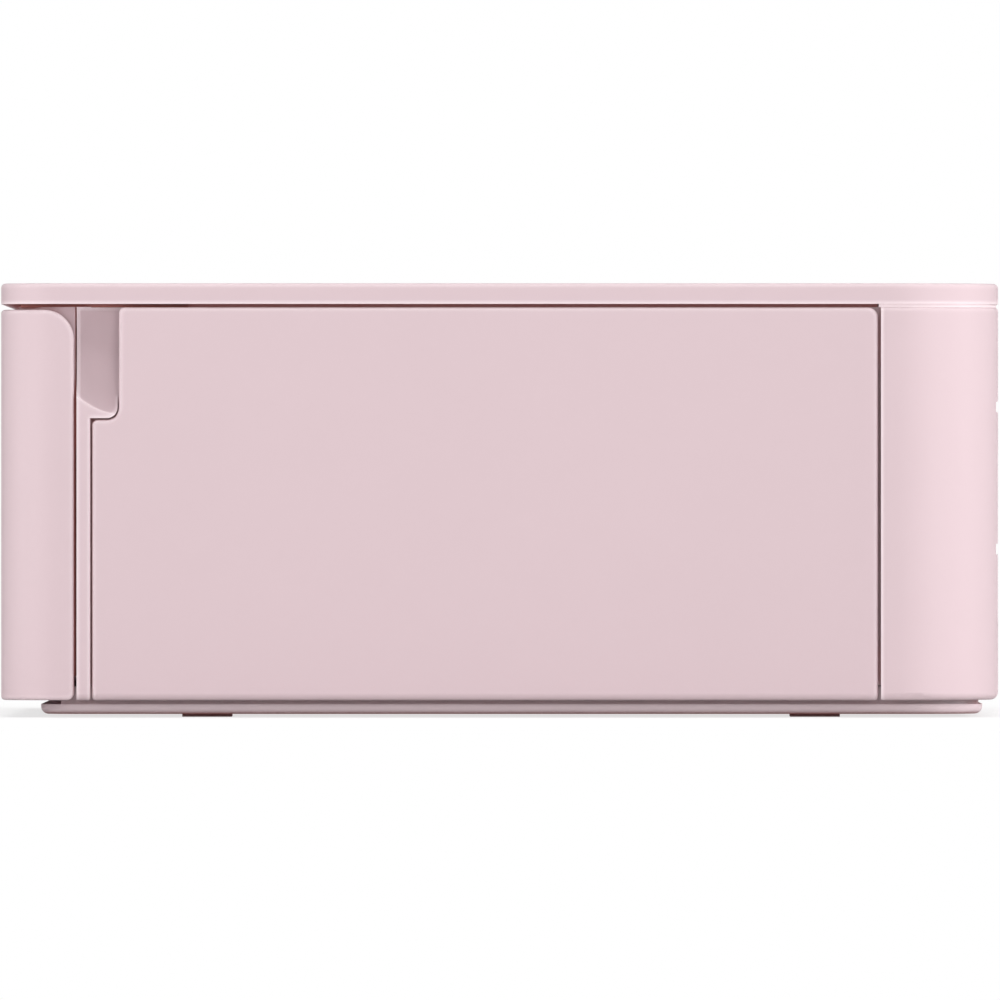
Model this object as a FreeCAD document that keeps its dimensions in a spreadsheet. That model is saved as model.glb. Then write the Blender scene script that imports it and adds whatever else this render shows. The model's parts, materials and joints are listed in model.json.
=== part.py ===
"""A compact photo printer, built from its separate pieces, in millimetres.

Frame: +X is the right side with the ink door, -Y is the front, +Z is up.
The origin lies under the middle of the printer, on the surface that it stands on.
Each size is a cell of the sheet, and each feature is bound to those cells.
"""
import FreeCAD, Part
import os
import re
import Sketcher

# Driving sizes, in millimetres, and counts
SIZES = {
    # outer body
    "overall_width": 182.2, "overall_depth": 133.0, "overall_height": 57.8,
    "lid_thickness": 2.75, "lid_gap": 0.4, "wall": 2.2, "shell_bottom": 2.3,
    "front_radius": 8.0, "rear_radius": 15.0, "edge_radius": 0.6, "overrun": 1.0,
    "seam": 0.2, "lower_edge": 1.0, "soft_edge": 0.3,
    "lid_rim_height": 2.0, "lid_rim_thickness": 1.2, "lid_rim_play": 0.35,
    # plinth, floor and feet
    "plinth_bottom": 0.45, "plinth_top": 1.75, "plinth_front_inset": 5.3, "plinth_rear_inset": 2.1,
    "plinth_side_inset": 4.5, "plinth_edge": 1.0, "plinth_front_radius": 5.0, "floor_top": 4.1,
    "floor_front_inset": 8.0, "floor_side_inset": 6.1, "floor_rear_inset": 2.6, "floor_radius": 10.0,
    "foot_length": 6.6, "foot_width": 14.0, "foot_front_inset": 27.35, "foot_rear_inset": 24.4,
    "foot_side_inset": 23.1,
    # front cover
    "cover_depth": 9.8, "cover_wall": 1.9, "cover_top_gap": 0.75, "cover_play": 0.35,
    "cover_corner": 4.0, "cover_foot_radius": 1.0, "cover_edge": 0.5,
    "cover_axis_back": 3.1, "cover_axis_up": 3.9, "cover_pin_radius": 0.6,
    "lug_radius": 1.3, "lug_width": 3.0, "lug_inset": 10.6, "ear_width": 2.4, "ear_radius": 0.95,
    "running_play": 0.05, "side_play": 0.3,
    # front frame and paper mouth
    "frame_gap": 0.6, "mouth_half_width": 57.0, "mouth_bottom": 7.0, "mouth_drop": 14.05,
    "mouth_radius": 2.0, "mouth_step": 3.0, "mouth_step_depth": 1.0, "frame_play": 0.3,
    # side strip, finger recess and ink door
    "strip_width": 1.85, "strip_drop": 15.2, "door_thickness": 2.0,
    "door_top_gap": 0.45, "door_rear_inset": 16.2, "door_rear_gap": 0.4,
    "notch_width": 3.6, "notch_radius": 1.6, "recess_depth": 12.0, "recess_wall": 1.5, "recess_reach": 14.0,
    "dish_radius": 10.0, "dish_out": 4.0, "dish_inset": 16.5, "dish_drop": 5.55,
    "door_corner": 0.8, "door_rear_corner": 1.35, "door_edge": 0.5, "door_swing": 2.1,
    "door_axis_in": 1.7, "door_axis_back": 1.3, "door_pin_radius": 0.4, "door_pin_end": 1.5,
    "door_ear_radius": 0.75, "door_ear_height": 3.0, "door_ear_low": 4.6, "door_ear_drop": 6.45,
    "door_ear_play": 0.3, "door_skin": 0.8, "knuckle_depth": 0.8, "knuckle_half": 0.95,
    "rib_height": 1.1, "rib_thickness": 1.2, "rib_low": 12.0, "rib_drop": 21.05, "rib_inset": 8.0,
    # ink bay behind the door
    "bay_plate_gap": 1.5, "bay_plate": 1.8, "bay_front_margin": 10.5, "bay_under": 3.0, "bay_over": 3.5,
    # rear paper exit, vents and band lines
    "exit_under": 1.6, "exit_over": 3.4,
    "vent_count": 6, "vent_width": 2.0, "vent_height": 22.0, "vent_pitch": 4.2,
    "vent_inset": 25.6, "vent_bottom": 13.0, "band_low": 22.4, "band_drop": 13.65,
    "band_width": 1.4, "band_groove": 0.3,
    # chassis and paper path
    "chassis_left_inset": 31.1, "chassis_right_inset": 29.1, "plate": 1.2, "chassis_front_inset": 14.5,
    "chassis_rear_inset": 12.5, "chassis_gap": 0.75, "window_play": 1.0,
    "platen_inset": 48.5, "drive_height": 19.0, "platen_radius": 5.0, "spindle_radius": 1.5,
    "roller_gap": 6.8, "pinch_radius": 3.0, "nip_gap": 0.3, "pickup_inset": 30.5, "pickup_height": 32.0,
    "pickup_radius": 7.0, "pickup_half_width": 8.0, "pickup_spread": 16.0,
    "shaft_reach": 0.8,
    # gears
    "gear_module": 0.8, "gear_width": 4.0, "gear_gap": 0.8, "gear_play": 0.12,
    "platen_teeth": 20, "idler_teeth": 18, "capstan_teeth": 24, "pinion_teeth": 10,
    "pitch_share": 3.1416, "half_turn": 180, "tooth_share": 0.27, "tip_share": 0.13, "rise_share": 0.85,
    "root_share": 1.15,
    # drive motor
    "motor_radius": 10.0, "motor_length": 16.0, "motor_shaft": 1.0, "bracket_gap": 1.0,
    "bracket_half": 10.2, "post_radius": 1.8, "post_inset": 2.5,
    # ink cassette and spools
    "supply_inset": 62.5, "takeup_inset": 29.5, "spool_drop": 18.05, "tube_radius": 9.5,
    "tube_wall": 1.2, "cassette_left_gap": 4.8, "cassette_right_gap": 2.0, "end_frame": 4.0,
    "grip_reach": 18.0, "grip_thickness": 2.0,
    "core_radius": 3.0, "supply_wound": 7.0, "takeup_wound": 4.0,
    # print head
    "head_margin": 3.0, "head_depth": 8.0, "head_height": 4.0, "head_gap": 0.35,
    "sink_base": 3.0, "fin_count": 4, "fin_thickness": 0.8, "bracket_drop": 2.6,
    "bracket_plate": 1.5, "head_pivot_inset": 4.0, "arm_width": 3.0, "pivot_radius": 1.2,
    "arm_play": 0.3,
    # circuit boards, sockets and fan
    "board_bottom": 7.0, "board_thickness": 1.6, "board_front_inset": 12.0, "board_rear_inset": 16.5, "board_gap": 1.0,
    "board_side_gap": 1.1, "pillar_radius": 2.0,
    "card_gap": 1.2, "card_width": 26.0, "card_height": 3.6, "card_depth": 10.0, "card_lip": 0.6,
    "port_inset": 40.0, "port_width": 9.2, "port_height": 3.4, "port_depth": 7.6,
    "socket_inset": 19.1, "socket_height": 13.0, "socket_radius": 4.2, "socket_block": 11.0,
    "socket_depth": 10.0, "socket_bore": 2.9, "socket_pin": 0.8,
    "fan_half": 13.0, "fan_depth": 9.0, "fan_hub": 5.0, "fan_bore": 11.4, "fan_blades": 7,
    "fan_height": 24.0, "fan_thin": 1.2, "fan_strut": 2.0, "blade_thickness": 1.0, "blade_tip_gap": 0.5,
    # display and keys in the lid
    "display_inset": 27.1, "display_gap": 15.3, "display_end_inset": 35.5,
    "display_thickness": 1.2, "display_rim": 3.0, "display_corner": 2.5,
    "panel_thickness": 3.0, "key_radius": 4.5, "key_play": 0.2, "key_travel": 0.5,
    "key_flange": 0.8, "flange_height": 0.7, "key_sink": 0.1, "stem_radius": 1.6,
    "ring_radius": 14.5, "ok_radius": 6.0, "pad_inset": 33.1, "pad_offset": 2.0,
    "side_key_pitch": 15.0, "key_row_offset": 27.0, "upper_row_offset": 34.0,
    "key_board_half_width": 20.7, "key_board_half_depth": 44.0, "key_board_drop": 3.2,
    "switch_height": 0.9, "switch_half": 1.8,
    # screws
    "screw_radius": 1.5, "screw_head": 2.6, "screw_play": 0.1, "screw_side_inset": 24.1,
    "screw_front_inset": 16.5, "screw_rear_inset": 12.5, "head_thickness": 1.0,
}

# Places that follow the sizes above, each a cell of the sheet as well
PLACES = {
    "side": "overall_width / 2",
    "rear": "overall_depth / 2",
    "lid_bottom": "overall_height - lid_thickness",
    "plinth_front": "rear - plinth_front_inset",
    "plinth_rear": "rear - plinth_rear_inset",
    "plinth_side": "side - plinth_side_inset",
    "floor_front": "rear - floor_front_inset",
    "floor_rear": "rear - floor_rear_inset",
    "floor_side": "side - floor_side_inset",
    "foot_front": "rear - foot_front_inset",
    "foot_rear": "rear - foot_rear_inset",
    "foot_side": "side - foot_side_inset",
    "lug_side": "side - lug_inset",
    "frame_side": "side - cover_wall - frame_gap",
    "mouth_top": "lid_bottom - mouth_drop",
    "strip_top": "lid_bottom - strip_drop",
    "door_rear": "rear - door_rear_inset",
    "dish_along": "rear - dish_inset",
    "dish_height": "lid_bottom - dish_drop",
    "door_ear_high": "lid_bottom - door_ear_drop",
    "rib_high": "lid_bottom - rib_drop",
    "bay_plate_outer": "side - door_thickness - bay_plate_gap",
    "exit_bottom": "drive_height + platen_radius - exit_under",
    "exit_top": "drive_height + platen_radius + exit_over",
    "vent_across": "side - vent_inset",
    "band_high": "lid_bottom - band_drop",
    "chassis_left": "side - chassis_left_inset",
    "chassis_right": "side - chassis_right_inset",
    "chassis_front": "rear - chassis_front_inset",
    "chassis_rear": "rear - chassis_rear_inset",
    "chassis_top": "lid_bottom - key_board_drop - board_thickness - chassis_gap",
    "platen_along": "rear - platen_inset",
    "pickup_along": "rear - pickup_inset",
    "roller_half": "chassis_left - plate - roller_gap",
    "exit_half_width": "roller_half",
    "supply_along": "rear - supply_inset",
    "takeup_along": "rear - takeup_inset",
    "spool_height": "lid_bottom - spool_drop",
    "cassette_left": "chassis_left - plate - cassette_left_gap",
    "cassette_right": "chassis_right - cassette_right_gap",
    "head_half": "roller_half - head_margin",
    "bracket_low": "chassis_top - bracket_drop",
    "head_pivot_along": "chassis_rear - head_pivot_inset",
    "board_front": "rear - board_front_inset",
    "board_rear": "rear - board_rear_inset",
    "board_inner": "chassis_left + board_gap",
    "board_outer": "side - wall - board_side_gap",
    "pinion_along": "platen_along - (platen_teeth + pinion_teeth) * gear_module / 2 - gear_play",
    "card_along": "motor_radius + card_gap + card_width / 2 - pinion_along",
    "port_along": "rear - port_inset",
    "socket_across": "side - socket_inset",
    "pad_across": "side - pad_inset",
    "pad_along": "pad_offset",
    "display_half_width":
        "(overall_width - display_inset - pad_inset - key_board_half_width - display_gap) / 2",
    "display_half_depth": "rear - display_end_inset",
    "display_across": "side - display_inset - display_half_width",
    "display_along": "pad_offset",
    "key_row": "key_row_offset",
    "upper_row": "upper_row_offset",
    "screw_side": "side - screw_side_inset",
    "screw_front": "rear - screw_front_inset",
    "screw_rear": "rear - screw_rear_inset",
}

SAME_PLACE = 0.01      # how near an edge lies to the place that names it
FULL_TURN = 360
QUARTER = 90

document = FreeCAD.newDocument("compact_photo_printer")
sheet = document.addObject("Spreadsheet::Sheet", "Sizes")
for row, (size_name, size) in enumerate([*SIZES.items(), *PLACES.items()], start=1):
    sheet.set(f"A{row}", str(size) if size_name in SIZES else f"={size}")
    sheet.setAlias(f"A{row}", size_name)
document.recompute()
reader = document.addObject("App::FeaturePython", "Reader")
pieces = []


def formula(words):
    """Point each size name in a formula at its cell in the sheet."""
    return re.sub(r"[a-z][a-z_]*", lambda word: "Sizes." + word.group(0), words)


def number(words):
    """Work out a formula with the sheet's present sizes."""
    return float(reader.evalExpression(formula(words)))


def at(**words):
    """Name where an edge lies, by formulas for some of x, y and z."""
    return words


class Piece:
    """One physical piece: a body whose features follow the sheet."""

    TURNS = {
        "X": FreeCAD.Rotation(FreeCAD.Vector(0, 1, 0), QUARTER),
        "Y": FreeCAD.Rotation(FreeCAD.Vector(1, 0, 0), -QUARTER),
        "Z": FreeCAD.Rotation(),
    }

    def __init__(self, name):
        self.body = document.addObject("PartDesign::Body", name)
        self.body.Label = name
        self.body.AllowCompound = True
        pieces.append(self.body)

    def origin(self, role):
        """Plane or axis of this piece's own origin."""
        return next(item for item in self.body.Origin.OriginFeatures if item.Role == role)

    def place(self, item, spot):
        """Bind a feature's corner or centre to three formulas."""
        for axis, words in zip("xyz", spot):
            item.setExpression("Placement.Base." + axis, formula(words))

    def block(self, across, along, up, remove=False):
        """Add or cut a block between pairs of formulas in X, Y and Z."""
        kind = "PartDesign::SubtractiveBox" if remove else "PartDesign::AdditiveBox"
        item = self.body.newObject(kind, "Block")
        for side, (low, high) in zip(("Length", "Width", "Height"), (across, along, up)):
            item.setExpression(side, formula(f"({high}) - ({low})"))
        self.place(item, (across[0], along[0], up[0]))
        return item

    def rod(self, axis, radius, spot, length, remove=False):
        """Add or cut a round rod that starts at a spot and runs along an axis."""
        kind = "PartDesign::SubtractiveCylinder" if remove else "PartDesign::AdditiveCylinder"
        item = self.body.newObject(kind, "Rod")
        item.setExpression("Radius", formula(radius))
        item.setExpression("Height", formula(length))
        item.Placement = FreeCAD.Placement(FreeCAD.Vector(), self.TURNS[axis])
        self.place(item, spot)
        return item

    def ball(self, radius, spot):
        """Cut a round dish."""
        item = self.body.newObject("PartDesign::SubtractiveSphere", "Dish")
        item.setExpression("Radius", formula(radius))
        self.place(item, spot)

    def sketch(self, plane, points, offset):
        """Closed outline whose corners are pairs of formulas."""
        drawing = self.body.newObject("Sketcher::SketchObject", "Outline")
        drawing.AttachmentSupport = [(self.origin(plane), "")]
        drawing.MapMode = "FlatFace"
        drawing.setExpression("AttachmentOffset.Base.z", formula(offset))
        corners = [FreeCAD.Vector(number(u), number(v), 0) for u, v in points]
        count = len(corners)
        for start in range(count):
            drawing.addGeometry(Part.LineSegment(corners[start], corners[(start + 1) % count]), False)
        for start in range(count):
            drawing.addConstraint(Sketcher.Constraint("Coincident", start, 2, (start + 1) % count, 1))
        for start, pair in enumerate(points):
            for kind, words in zip(("DistanceX", "DistanceY"), pair):
                rule = Sketcher.Constraint(kind, -1, 1, start, 1, number(words))
                index = drawing.addConstraint(rule)
                drawing.setExpression(f"Constraints[{index}]", formula(words))
        return drawing

    def outline(self, plane, points, low, high, remove=False):
        """Pad or pocket an outline from low to high along the plane's own axis."""
        offset = f"-({low})" if plane == "XZ_Plane" else low
        drawing = self.sketch(plane, points, offset)
        item = self.body.newObject("PartDesign::Pocket" if remove else "PartDesign::Pad", "Form")
        item.Profile = drawing
        item.Reversed = (plane == "XZ_Plane") != remove
        item.setExpression("Length", formula(f"({high}) - ({low})"))
        return item

    def turned(self, axis, points):
        """Turn an outline of places along the axis and radii round that axis."""
        plane = "YZ_Plane" if axis == "Y" else "XY_Plane"
        drawing = self.sketch(plane, points, "0")
        item = self.body.newObject("PartDesign::Revolution", "Turned")
        item.Profile = drawing
        item.ReferenceAxis = (self.origin(axis + "_Axis"), [""])
        item.Angle = FULL_TURN
        return item

    def moved(self, spot):
        """Place the whole piece by three formulas."""
        self.place(self.body, spot)

    def in_row(self, item, axis, length, count):
        """Repeat a feature along an axis, a named number of times."""
        item_row = self.body.newObject("PartDesign::LinearPattern", "Row")
        item_row.Originals = [item]
        item_row.Direction = (self.origin(axis + "_Axis"), [""])
        item_row.setExpression("Length", formula(length))
        item_row.setExpression("Occurrences", formula(count))
        self.body.Tip = item_row

    def in_circle(self, item, axis, count):
        """Repeat a feature round an axis, a named number of times."""
        item_ring = self.body.newObject("PartDesign::PolarPattern", "Ring")
        item_ring.Originals = [item]
        item_ring.Axis = (self.origin(axis + "_Axis"), [""])
        item_ring.Angle = FULL_TURN
        item_ring.setExpression("Occurrences", formula(count))
        self.body.Tip = item_ring

    def found(self, parts, title, places):
        """Names of the edges or faces that lie wholly at one of the named places."""
        names = []
        for index, part in enumerate(parts, start=1):
            box = part.BoundBox
            spans = {"x": (box.XMin, box.XMax), "y": (box.YMin, box.YMax), "z": (box.ZMin, box.ZMax)}
            for spot in places:
                ends = [(end, number(words)) for axis, words in spot.items() for end in spans[axis]]
                if all(abs(end - wanted) < SAME_PLACE for end, wanted in ends):
                    names.append(f"{title}{index}")
                    break
        return names

    def rounded(self, radius, *places, bevel=False):
        """Round or bevel each edge that lies at one of the named places."""
        document.recompute()
        base = self.body.Tip
        item = self.body.newObject("PartDesign::Chamfer" if bevel else "PartDesign::Fillet", "Edges")
        item.Base = (base, self.found(base.Shape.Edges, "Edge", places))
        item.setExpression("Size" if bevel else "Radius", formula(radius))

    def hollowed(self, thickness, *places):
        """Leave a wall of the given thickness, open at the faces that lie at the named places."""
        document.recompute()
        base = self.body.Tip
        item = self.body.newObject("PartDesign::Thickness", "Wall")
        item.Base = (base, self.found(base.Shape.Faces, "Face", places))
        item.Reversed = True
        item.Join = 1
        item.setExpression("Value", formula(thickness))


# Faces that many pieces share
SIDE = "side"
REAR = "rear"
FRONT = "(-rear)"
LID_BOTTOM = "lid_bottom"
SHELL_TOP = f"({LID_BOTTOM} - lid_gap)"
INNER_SIDE = f"({SIDE} - wall)"
INNER_REAR = f"({REAR} - wall)"
STRIP_FRONT = f"({FRONT} + cover_depth + cover_play)"
DOOR_FRONT = f"({STRIP_FRONT} + strip_width + seam)"
DOOR_TOP = f"({LID_BOTTOM} - door_top_gap)"
NOTCH_ALONG = f"({DOOR_FRONT} + notch_width)"
NOTCH_UP = "(strip_top - seam)"
DOOR_INNER = f"({SIDE} - door_thickness)"
DOOR_AXIS = (f"({SIDE} - door_axis_in)", "(door_rear - door_axis_back)")
COVER_AXIS = (f"({FRONT} + cover_axis_back)", "cover_axis_up")
BAY_INNER = "(bay_plate_outer - bay_plate)"
FRAME_BOTTOM = "(cover_axis_up + lug_radius + side_play)"
SIGNS = ("-", "")


def around(middle, half):
    """Pair of formulas at a half size each side of a middle."""
    return (f"{middle} - ({half})", f"{middle} + ({half})")


def make_bottom_case():
    """Plinth, floor and the ears that carry the front cover's pins."""
    case = Piece("bottom_case")
    case.block(("-floor_side", "floor_side"), ("-floor_front", "floor_rear"),
               ("plinth_top", "floor_top"))
    case.rounded("floor_radius", at(x="-floor_side", y="floor_rear"),
                 at(x="floor_side", y="floor_rear"))
    case.block(("-plinth_side", "plinth_side"), ("-plinth_front", "plinth_rear"),
               ("plinth_bottom", "plinth_top"))
    case.rounded("plinth_front_radius", at(x="-plinth_side", y="-plinth_front"),
                 at(x="plinth_side", y="-plinth_front"))
    case.rounded(f"rear_radius - {SIDE} + plinth_side", at(x="-plinth_side", y="plinth_rear"),
                 at(x="plinth_side", y="plinth_rear"))
    case.rounded("plinth_edge", at(z="plinth_bottom"))
    for sign in SIGNS:
        for inward in SIGNS:
            middle = f"({sign}lug_side {inward or '+'} (lug_width / 2 + side_play + ear_width / 2))"
            across = (f"{middle} - ear_width / 2", f"{middle} + ear_width / 2")
            case.block(across, (COVER_AXIS[0], "overrun - floor_front"),
                       ("cover_axis_up - ear_radius", "cover_axis_up + ear_radius"))
            case.rod("X", "ear_radius", (across[0], *COVER_AXIS), "ear_width")
            case.rod("X", "cover_pin_radius", (across[0], *COVER_AXIS), "ear_width", remove=True)
    for side in SIGNS:
        for along in ("-screw_front", "screw_rear"):
            spot = (f"{side}screw_side", along)
            case.rod("Z", "screw_head", (*spot, "plinth_bottom - overrun"),
                     "head_thickness + overrun", remove=True)
            case.rod("Z", "screw_radius", (*spot, "plinth_bottom"), "floor_top", remove=True)


def make_feet():
    """Four soft pads that stand the printer up."""
    feet = Piece("rubber_feet")
    for side in SIGNS:
        for along in ("-foot_front", "foot_rear"):
            middle = f"({side}foot_side)"
            feet.block((f"{middle} - foot_width / 2", f"{middle} + foot_width / 2"),
                       (f"{along} - foot_length / 2", f"{along} + foot_length / 2"),
                       ("0", "plinth_bottom"))


def make_main_shell():
    """Housing wall with the finger recess, the ink bay and the rear paper exit."""
    shell = Piece("main_shell")
    shell.block((f"-{SIDE}", SIDE), (STRIP_FRONT, REAR), ("shell_bottom", SHELL_TOP))
    shell.rounded("rear_radius", at(x=f"-{SIDE}", y=REAR), at(x=SIDE, y=REAR))
    shell.hollowed("wall", at(z="shell_bottom"), at(z=SHELL_TOP), at(y=STRIP_FRONT))
    shell.rounded("lower_edge", at(x=f"-{SIDE}", z="shell_bottom"))
    shell.rounded("cover_edge", at(x=f"-{SIDE}", z=SHELL_TOP))
    through = ("shell_bottom - overrun", f"{SHELL_TOP} + overrun")
    behind = "(door_rear + door_rear_gap)"
    shell.block((BAY_INNER, f"{INNER_SIDE} + seam"), (STRIP_FRONT, f"{behind} + wall"),
                ("floor_top + seam", SHELL_TOP))
    pocket = ("bay_plate_outer", f"{SIDE} + overrun")
    shell.block(pocket, (f"{DOOR_FRONT} - seam", behind), (through[0], "strip_top"), remove=True)
    shell.block(pocket, (f"{NOTCH_ALONG} - seam", behind), ("strip_top - overrun", through[1]),
                remove=True)
    shell.rod("Z", "door_swing", (*DOOR_AXIS, through[0]), f"{through[1]} - ({through[0]})", remove=True)
    back_face = f"({SIDE} - recess_depth)"
    shell.block((f"{DOOR_INNER} - recess_wall", SIDE), (STRIP_FRONT, f"{NOTCH_ALONG} - seam"),
                ("strip_top", SHELL_TOP))
    shell.rounded("notch_radius - seam", at(y=f"{NOTCH_ALONG} - seam", z="strip_top"))
    shell.rounded("soft_edge", at(x=SIDE, y=f"{DOOR_FRONT} - seam"))
    shell.block((back_face, "bay_plate_outer"), (STRIP_FRONT, f"{STRIP_FRONT} + recess_reach"),
                ("strip_top - dish_out", SHELL_TOP))
    shell.ball("dish_radius", (f"{SIDE} + dish_out", "-dish_along", "dish_height"))
    shell.block((f"{BAY_INNER} - overrun", "bay_plate_outer + overrun"), 
                ("supply_along - tube_radius - bay_front_margin", "takeup_along + tube_radius + window_play"),
                ("spool_height - tube_radius - bay_under", "spool_height + tube_radius + bay_over"),
                remove=True)
    for low in ("door_ear_low", "door_ear_high"):
        spot = (*DOOR_AXIS, low)
        shell.block(("bay_plate_outer - overrun", DOOR_AXIS[0]),
                    (f"{DOOR_AXIS[1]} - door_ear_radius", f"{DOOR_AXIS[1]} + door_ear_radius"),
                    (low, f"{low} + door_ear_height"))
        shell.rod("Z", "door_ear_radius", spot, "door_ear_height")
        shell.rod("Z", "door_pin_radius + running_play", spot, "door_ear_height", remove=True)
    make_rear_face(shell)


def make_rear_face(shell):
    """Cut the two band lines, the paper exit, the air vents and the sockets' windows."""
    wall_run = (f"{INNER_REAR} - overrun", f"{REAR} + overrun")
    for middle in ("band_low", "band_high"):
        shell.block((f"-{SIDE}", SIDE), (f"{REAR} - band_groove", wall_run[1]),
                    around(middle, "band_width / 2"), remove=True)
    shell.block(("-exit_half_width", "exit_half_width"), wall_run, ("exit_bottom", "exit_top"),
                remove=True)
    first = "(vent_across - (vent_count - 1) * vent_pitch / 2)"
    vent = shell.block((f"{first} - vent_width / 2", f"{first} + vent_width / 2"), wall_run,
                       ("vent_bottom", "vent_bottom + vent_height"), remove=True)
    shell.in_row(vent, "X", "(vent_count - 1) * vent_pitch", "vent_count")
    shell.rod("Y", "socket_radius", ("-socket_across", wall_run[0], "socket_height"),
              "wall + 2 * overrun", remove=True)
    for middle, half, low, high in (
            ("-card_along", "card_width / 2", "board_bottom + board_thickness",
             "board_bottom + board_thickness + card_height"),
            ("port_along", "port_width / 2", "board_bottom + board_thickness",
             "board_bottom + board_thickness + port_height")):
        shell.block((f"-{SIDE} - overrun", f"overrun - {INNER_SIDE}"),
                    (f"{middle} - {half} - seam", f"{middle} + {half} + seam"),
                    (f"{low} - seam", f"{high} + seam"), remove=True)


def make_front_cover():
    """Fold-down cover that wraps round both front corners, with its hinge lugs."""
    cover = Piece("front_cover")
    top = f"({LID_BOTTOM} - cover_top_gap)"
    back = f"({FRONT} + cover_depth)"
    cover.block((f"-{SIDE}", SIDE), (FRONT, back), ("shell_bottom", top))
    cover.rounded("front_radius", at(x=f"-{SIDE}", y=FRONT), at(x=SIDE, y=FRONT))
    cover.hollowed("cover_wall", at(z="shell_bottom"), at(z=top), at(y=back))
    cover.rounded("cover_corner", at(y=back, z=top))
    cover.rounded("cover_foot_radius", at(y=back, z="shell_bottom"))
    cover.rounded("cover_edge", at(y=FRONT, z=top))
    inner = f"({FRONT} + cover_wall)"
    for up in ("mouth_bottom", "mouth_top"):
        cover.block(around("0", f"{SIDE} - front_radius"), (f"{inner} - seam", f"{inner} + frame_play / 2"),
                    (up, f"{up} + rib_thickness"))
    for sign in SIGNS:
        start = f"({sign}lug_side) - lug_width / 2"
        cover.rod("X", "lug_radius", (start, *COVER_AXIS), "lug_width")
        cover.rod("X", "cover_pin_radius + running_play", (start, *COVER_AXIS), "lug_width", remove=True)


def make_cover_pins():
    """Steel pins, fixed in the ears, that the front cover turns on."""
    pins = Piece("cover_hinge_pins")
    half = "(lug_width / 2 + side_play + ear_width)"
    for sign in SIGNS:
        pins.rod("X", "cover_pin_radius", (f"({sign}lug_side) - {half}", *COVER_AXIS), f"2 * {half}")


def make_front_frame():
    """Moulded frame behind the front cover, with the mouth for the paper cassette."""
    frame = Piece("front_frame")
    face = f"({FRONT} + cover_wall + frame_play + seam / 2)"
    back = f"({STRIP_FRONT} - seam)"
    across = ("-frame_side", "frame_side")
    frame.block(across, (face, back), (FRAME_BOTTOM, SHELL_TOP))
    frame.rounded("front_radius - cover_wall", at(x=across[0], y=face), at(x=across[1], y=face))
    frame.block(around("0", "mouth_half_width + mouth_step"), (f"{face} - overrun", f"{face} + mouth_step_depth"),
                ("mouth_bottom - mouth_step_depth", "mouth_top + mouth_step"), remove=True)
    frame.rounded("mouth_step", *(at(x=f"{side}(mouth_half_width + mouth_step)", z="mouth_top + mouth_step")
                                  for side in SIGNS))
    frame.block(("-mouth_half_width", "mouth_half_width"), (f"{face} - overrun", f"{back} + overrun"),
                ("mouth_bottom", "mouth_top"), remove=True)
    frame.rounded("mouth_radius", *(at(x=f"{side}mouth_half_width", z=up)
                                    for side in SIGNS for up in ("mouth_bottom", "mouth_top")))


def make_ink_door():
    """Side door with its notched front corner, stiffening ribs and hinge knuckles."""
    door = Piece("ink_door")
    profile = ((DOOR_FRONT, "shell_bottom"), ("door_rear", "shell_bottom"), ("door_rear", DOOR_TOP),
               (NOTCH_ALONG, DOOR_TOP), (NOTCH_ALONG, NOTCH_UP), (DOOR_FRONT, NOTCH_UP))
    door.outline("YZ_Plane", profile, DOOR_INNER, SIDE)
    door.rounded("notch_radius", at(y=NOTCH_ALONG, z=NOTCH_UP))
    door.rounded("door_corner", at(y=DOOR_FRONT, z=NOTCH_UP), at(y=NOTCH_ALONG, z=DOOR_TOP))
    door.rounded("door_rear_corner", at(y="door_rear", z=DOOR_TOP))
    door.rounded("lower_edge", at(x=SIDE, z="shell_bottom"))
    door.rounded("door_edge", at(x=SIDE, y="door_rear"))
    inner = (f"{DOOR_INNER} - rib_height", f"{DOOR_INNER} + seam")
    run = (f"{NOTCH_ALONG} + rib_inset", "door_rear - rib_inset")
    for up in ("rib_low", "rib_high"):
        door.block(inner, run, (up, f"{up} + rib_thickness"))
    for along in run:
        door.block(inner, (along, f"{along} + rib_thickness"), ("rib_low", "rib_high + rib_thickness"))
    knuckle = f"({DOOR_INNER} - knuckle_depth)"
    for low in ("door_ear_low", "door_ear_high"):
        cut_low = f"({low} - door_ear_play)"
        cut_high = f"({low} + door_ear_height + door_ear_play)"
        door.block((knuckle, f"{DOOR_INNER} + seam"),
                   (f"{DOOR_AXIS[1]} - knuckle_half", f"{DOOR_AXIS[1]} + knuckle_half"),
                   (f"{cut_low} - door_pin_end", f"{cut_high} + door_pin_end"))
        door.block((f"{knuckle} - overrun", f"{SIDE} - door_skin"),
                   (f"{DOOR_AXIS[1]} - door_ear_radius - door_ear_play - seam", "door_rear + overrun"),
                   (cut_low, cut_high), remove=True)
        door.rod("Z", "door_pin_radius", (*DOOR_AXIS, f"{cut_low} - door_pin_end"),
                 f"{cut_high} - {cut_low} + 2 * door_pin_end", remove=True)


def make_door_pins():
    """Steel pins, fixed in the ink door, that turn in the shell's ears."""
    pins = Piece("door_hinge_pins")
    for low in ("door_ear_low", "door_ear_high"):
        pins.rod("Z", "door_pin_radius", (*DOOR_AXIS, f"{low} - door_ear_play - door_pin_end"),
                 "door_ear_height + 2 * door_ear_play + 2 * door_pin_end")


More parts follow.
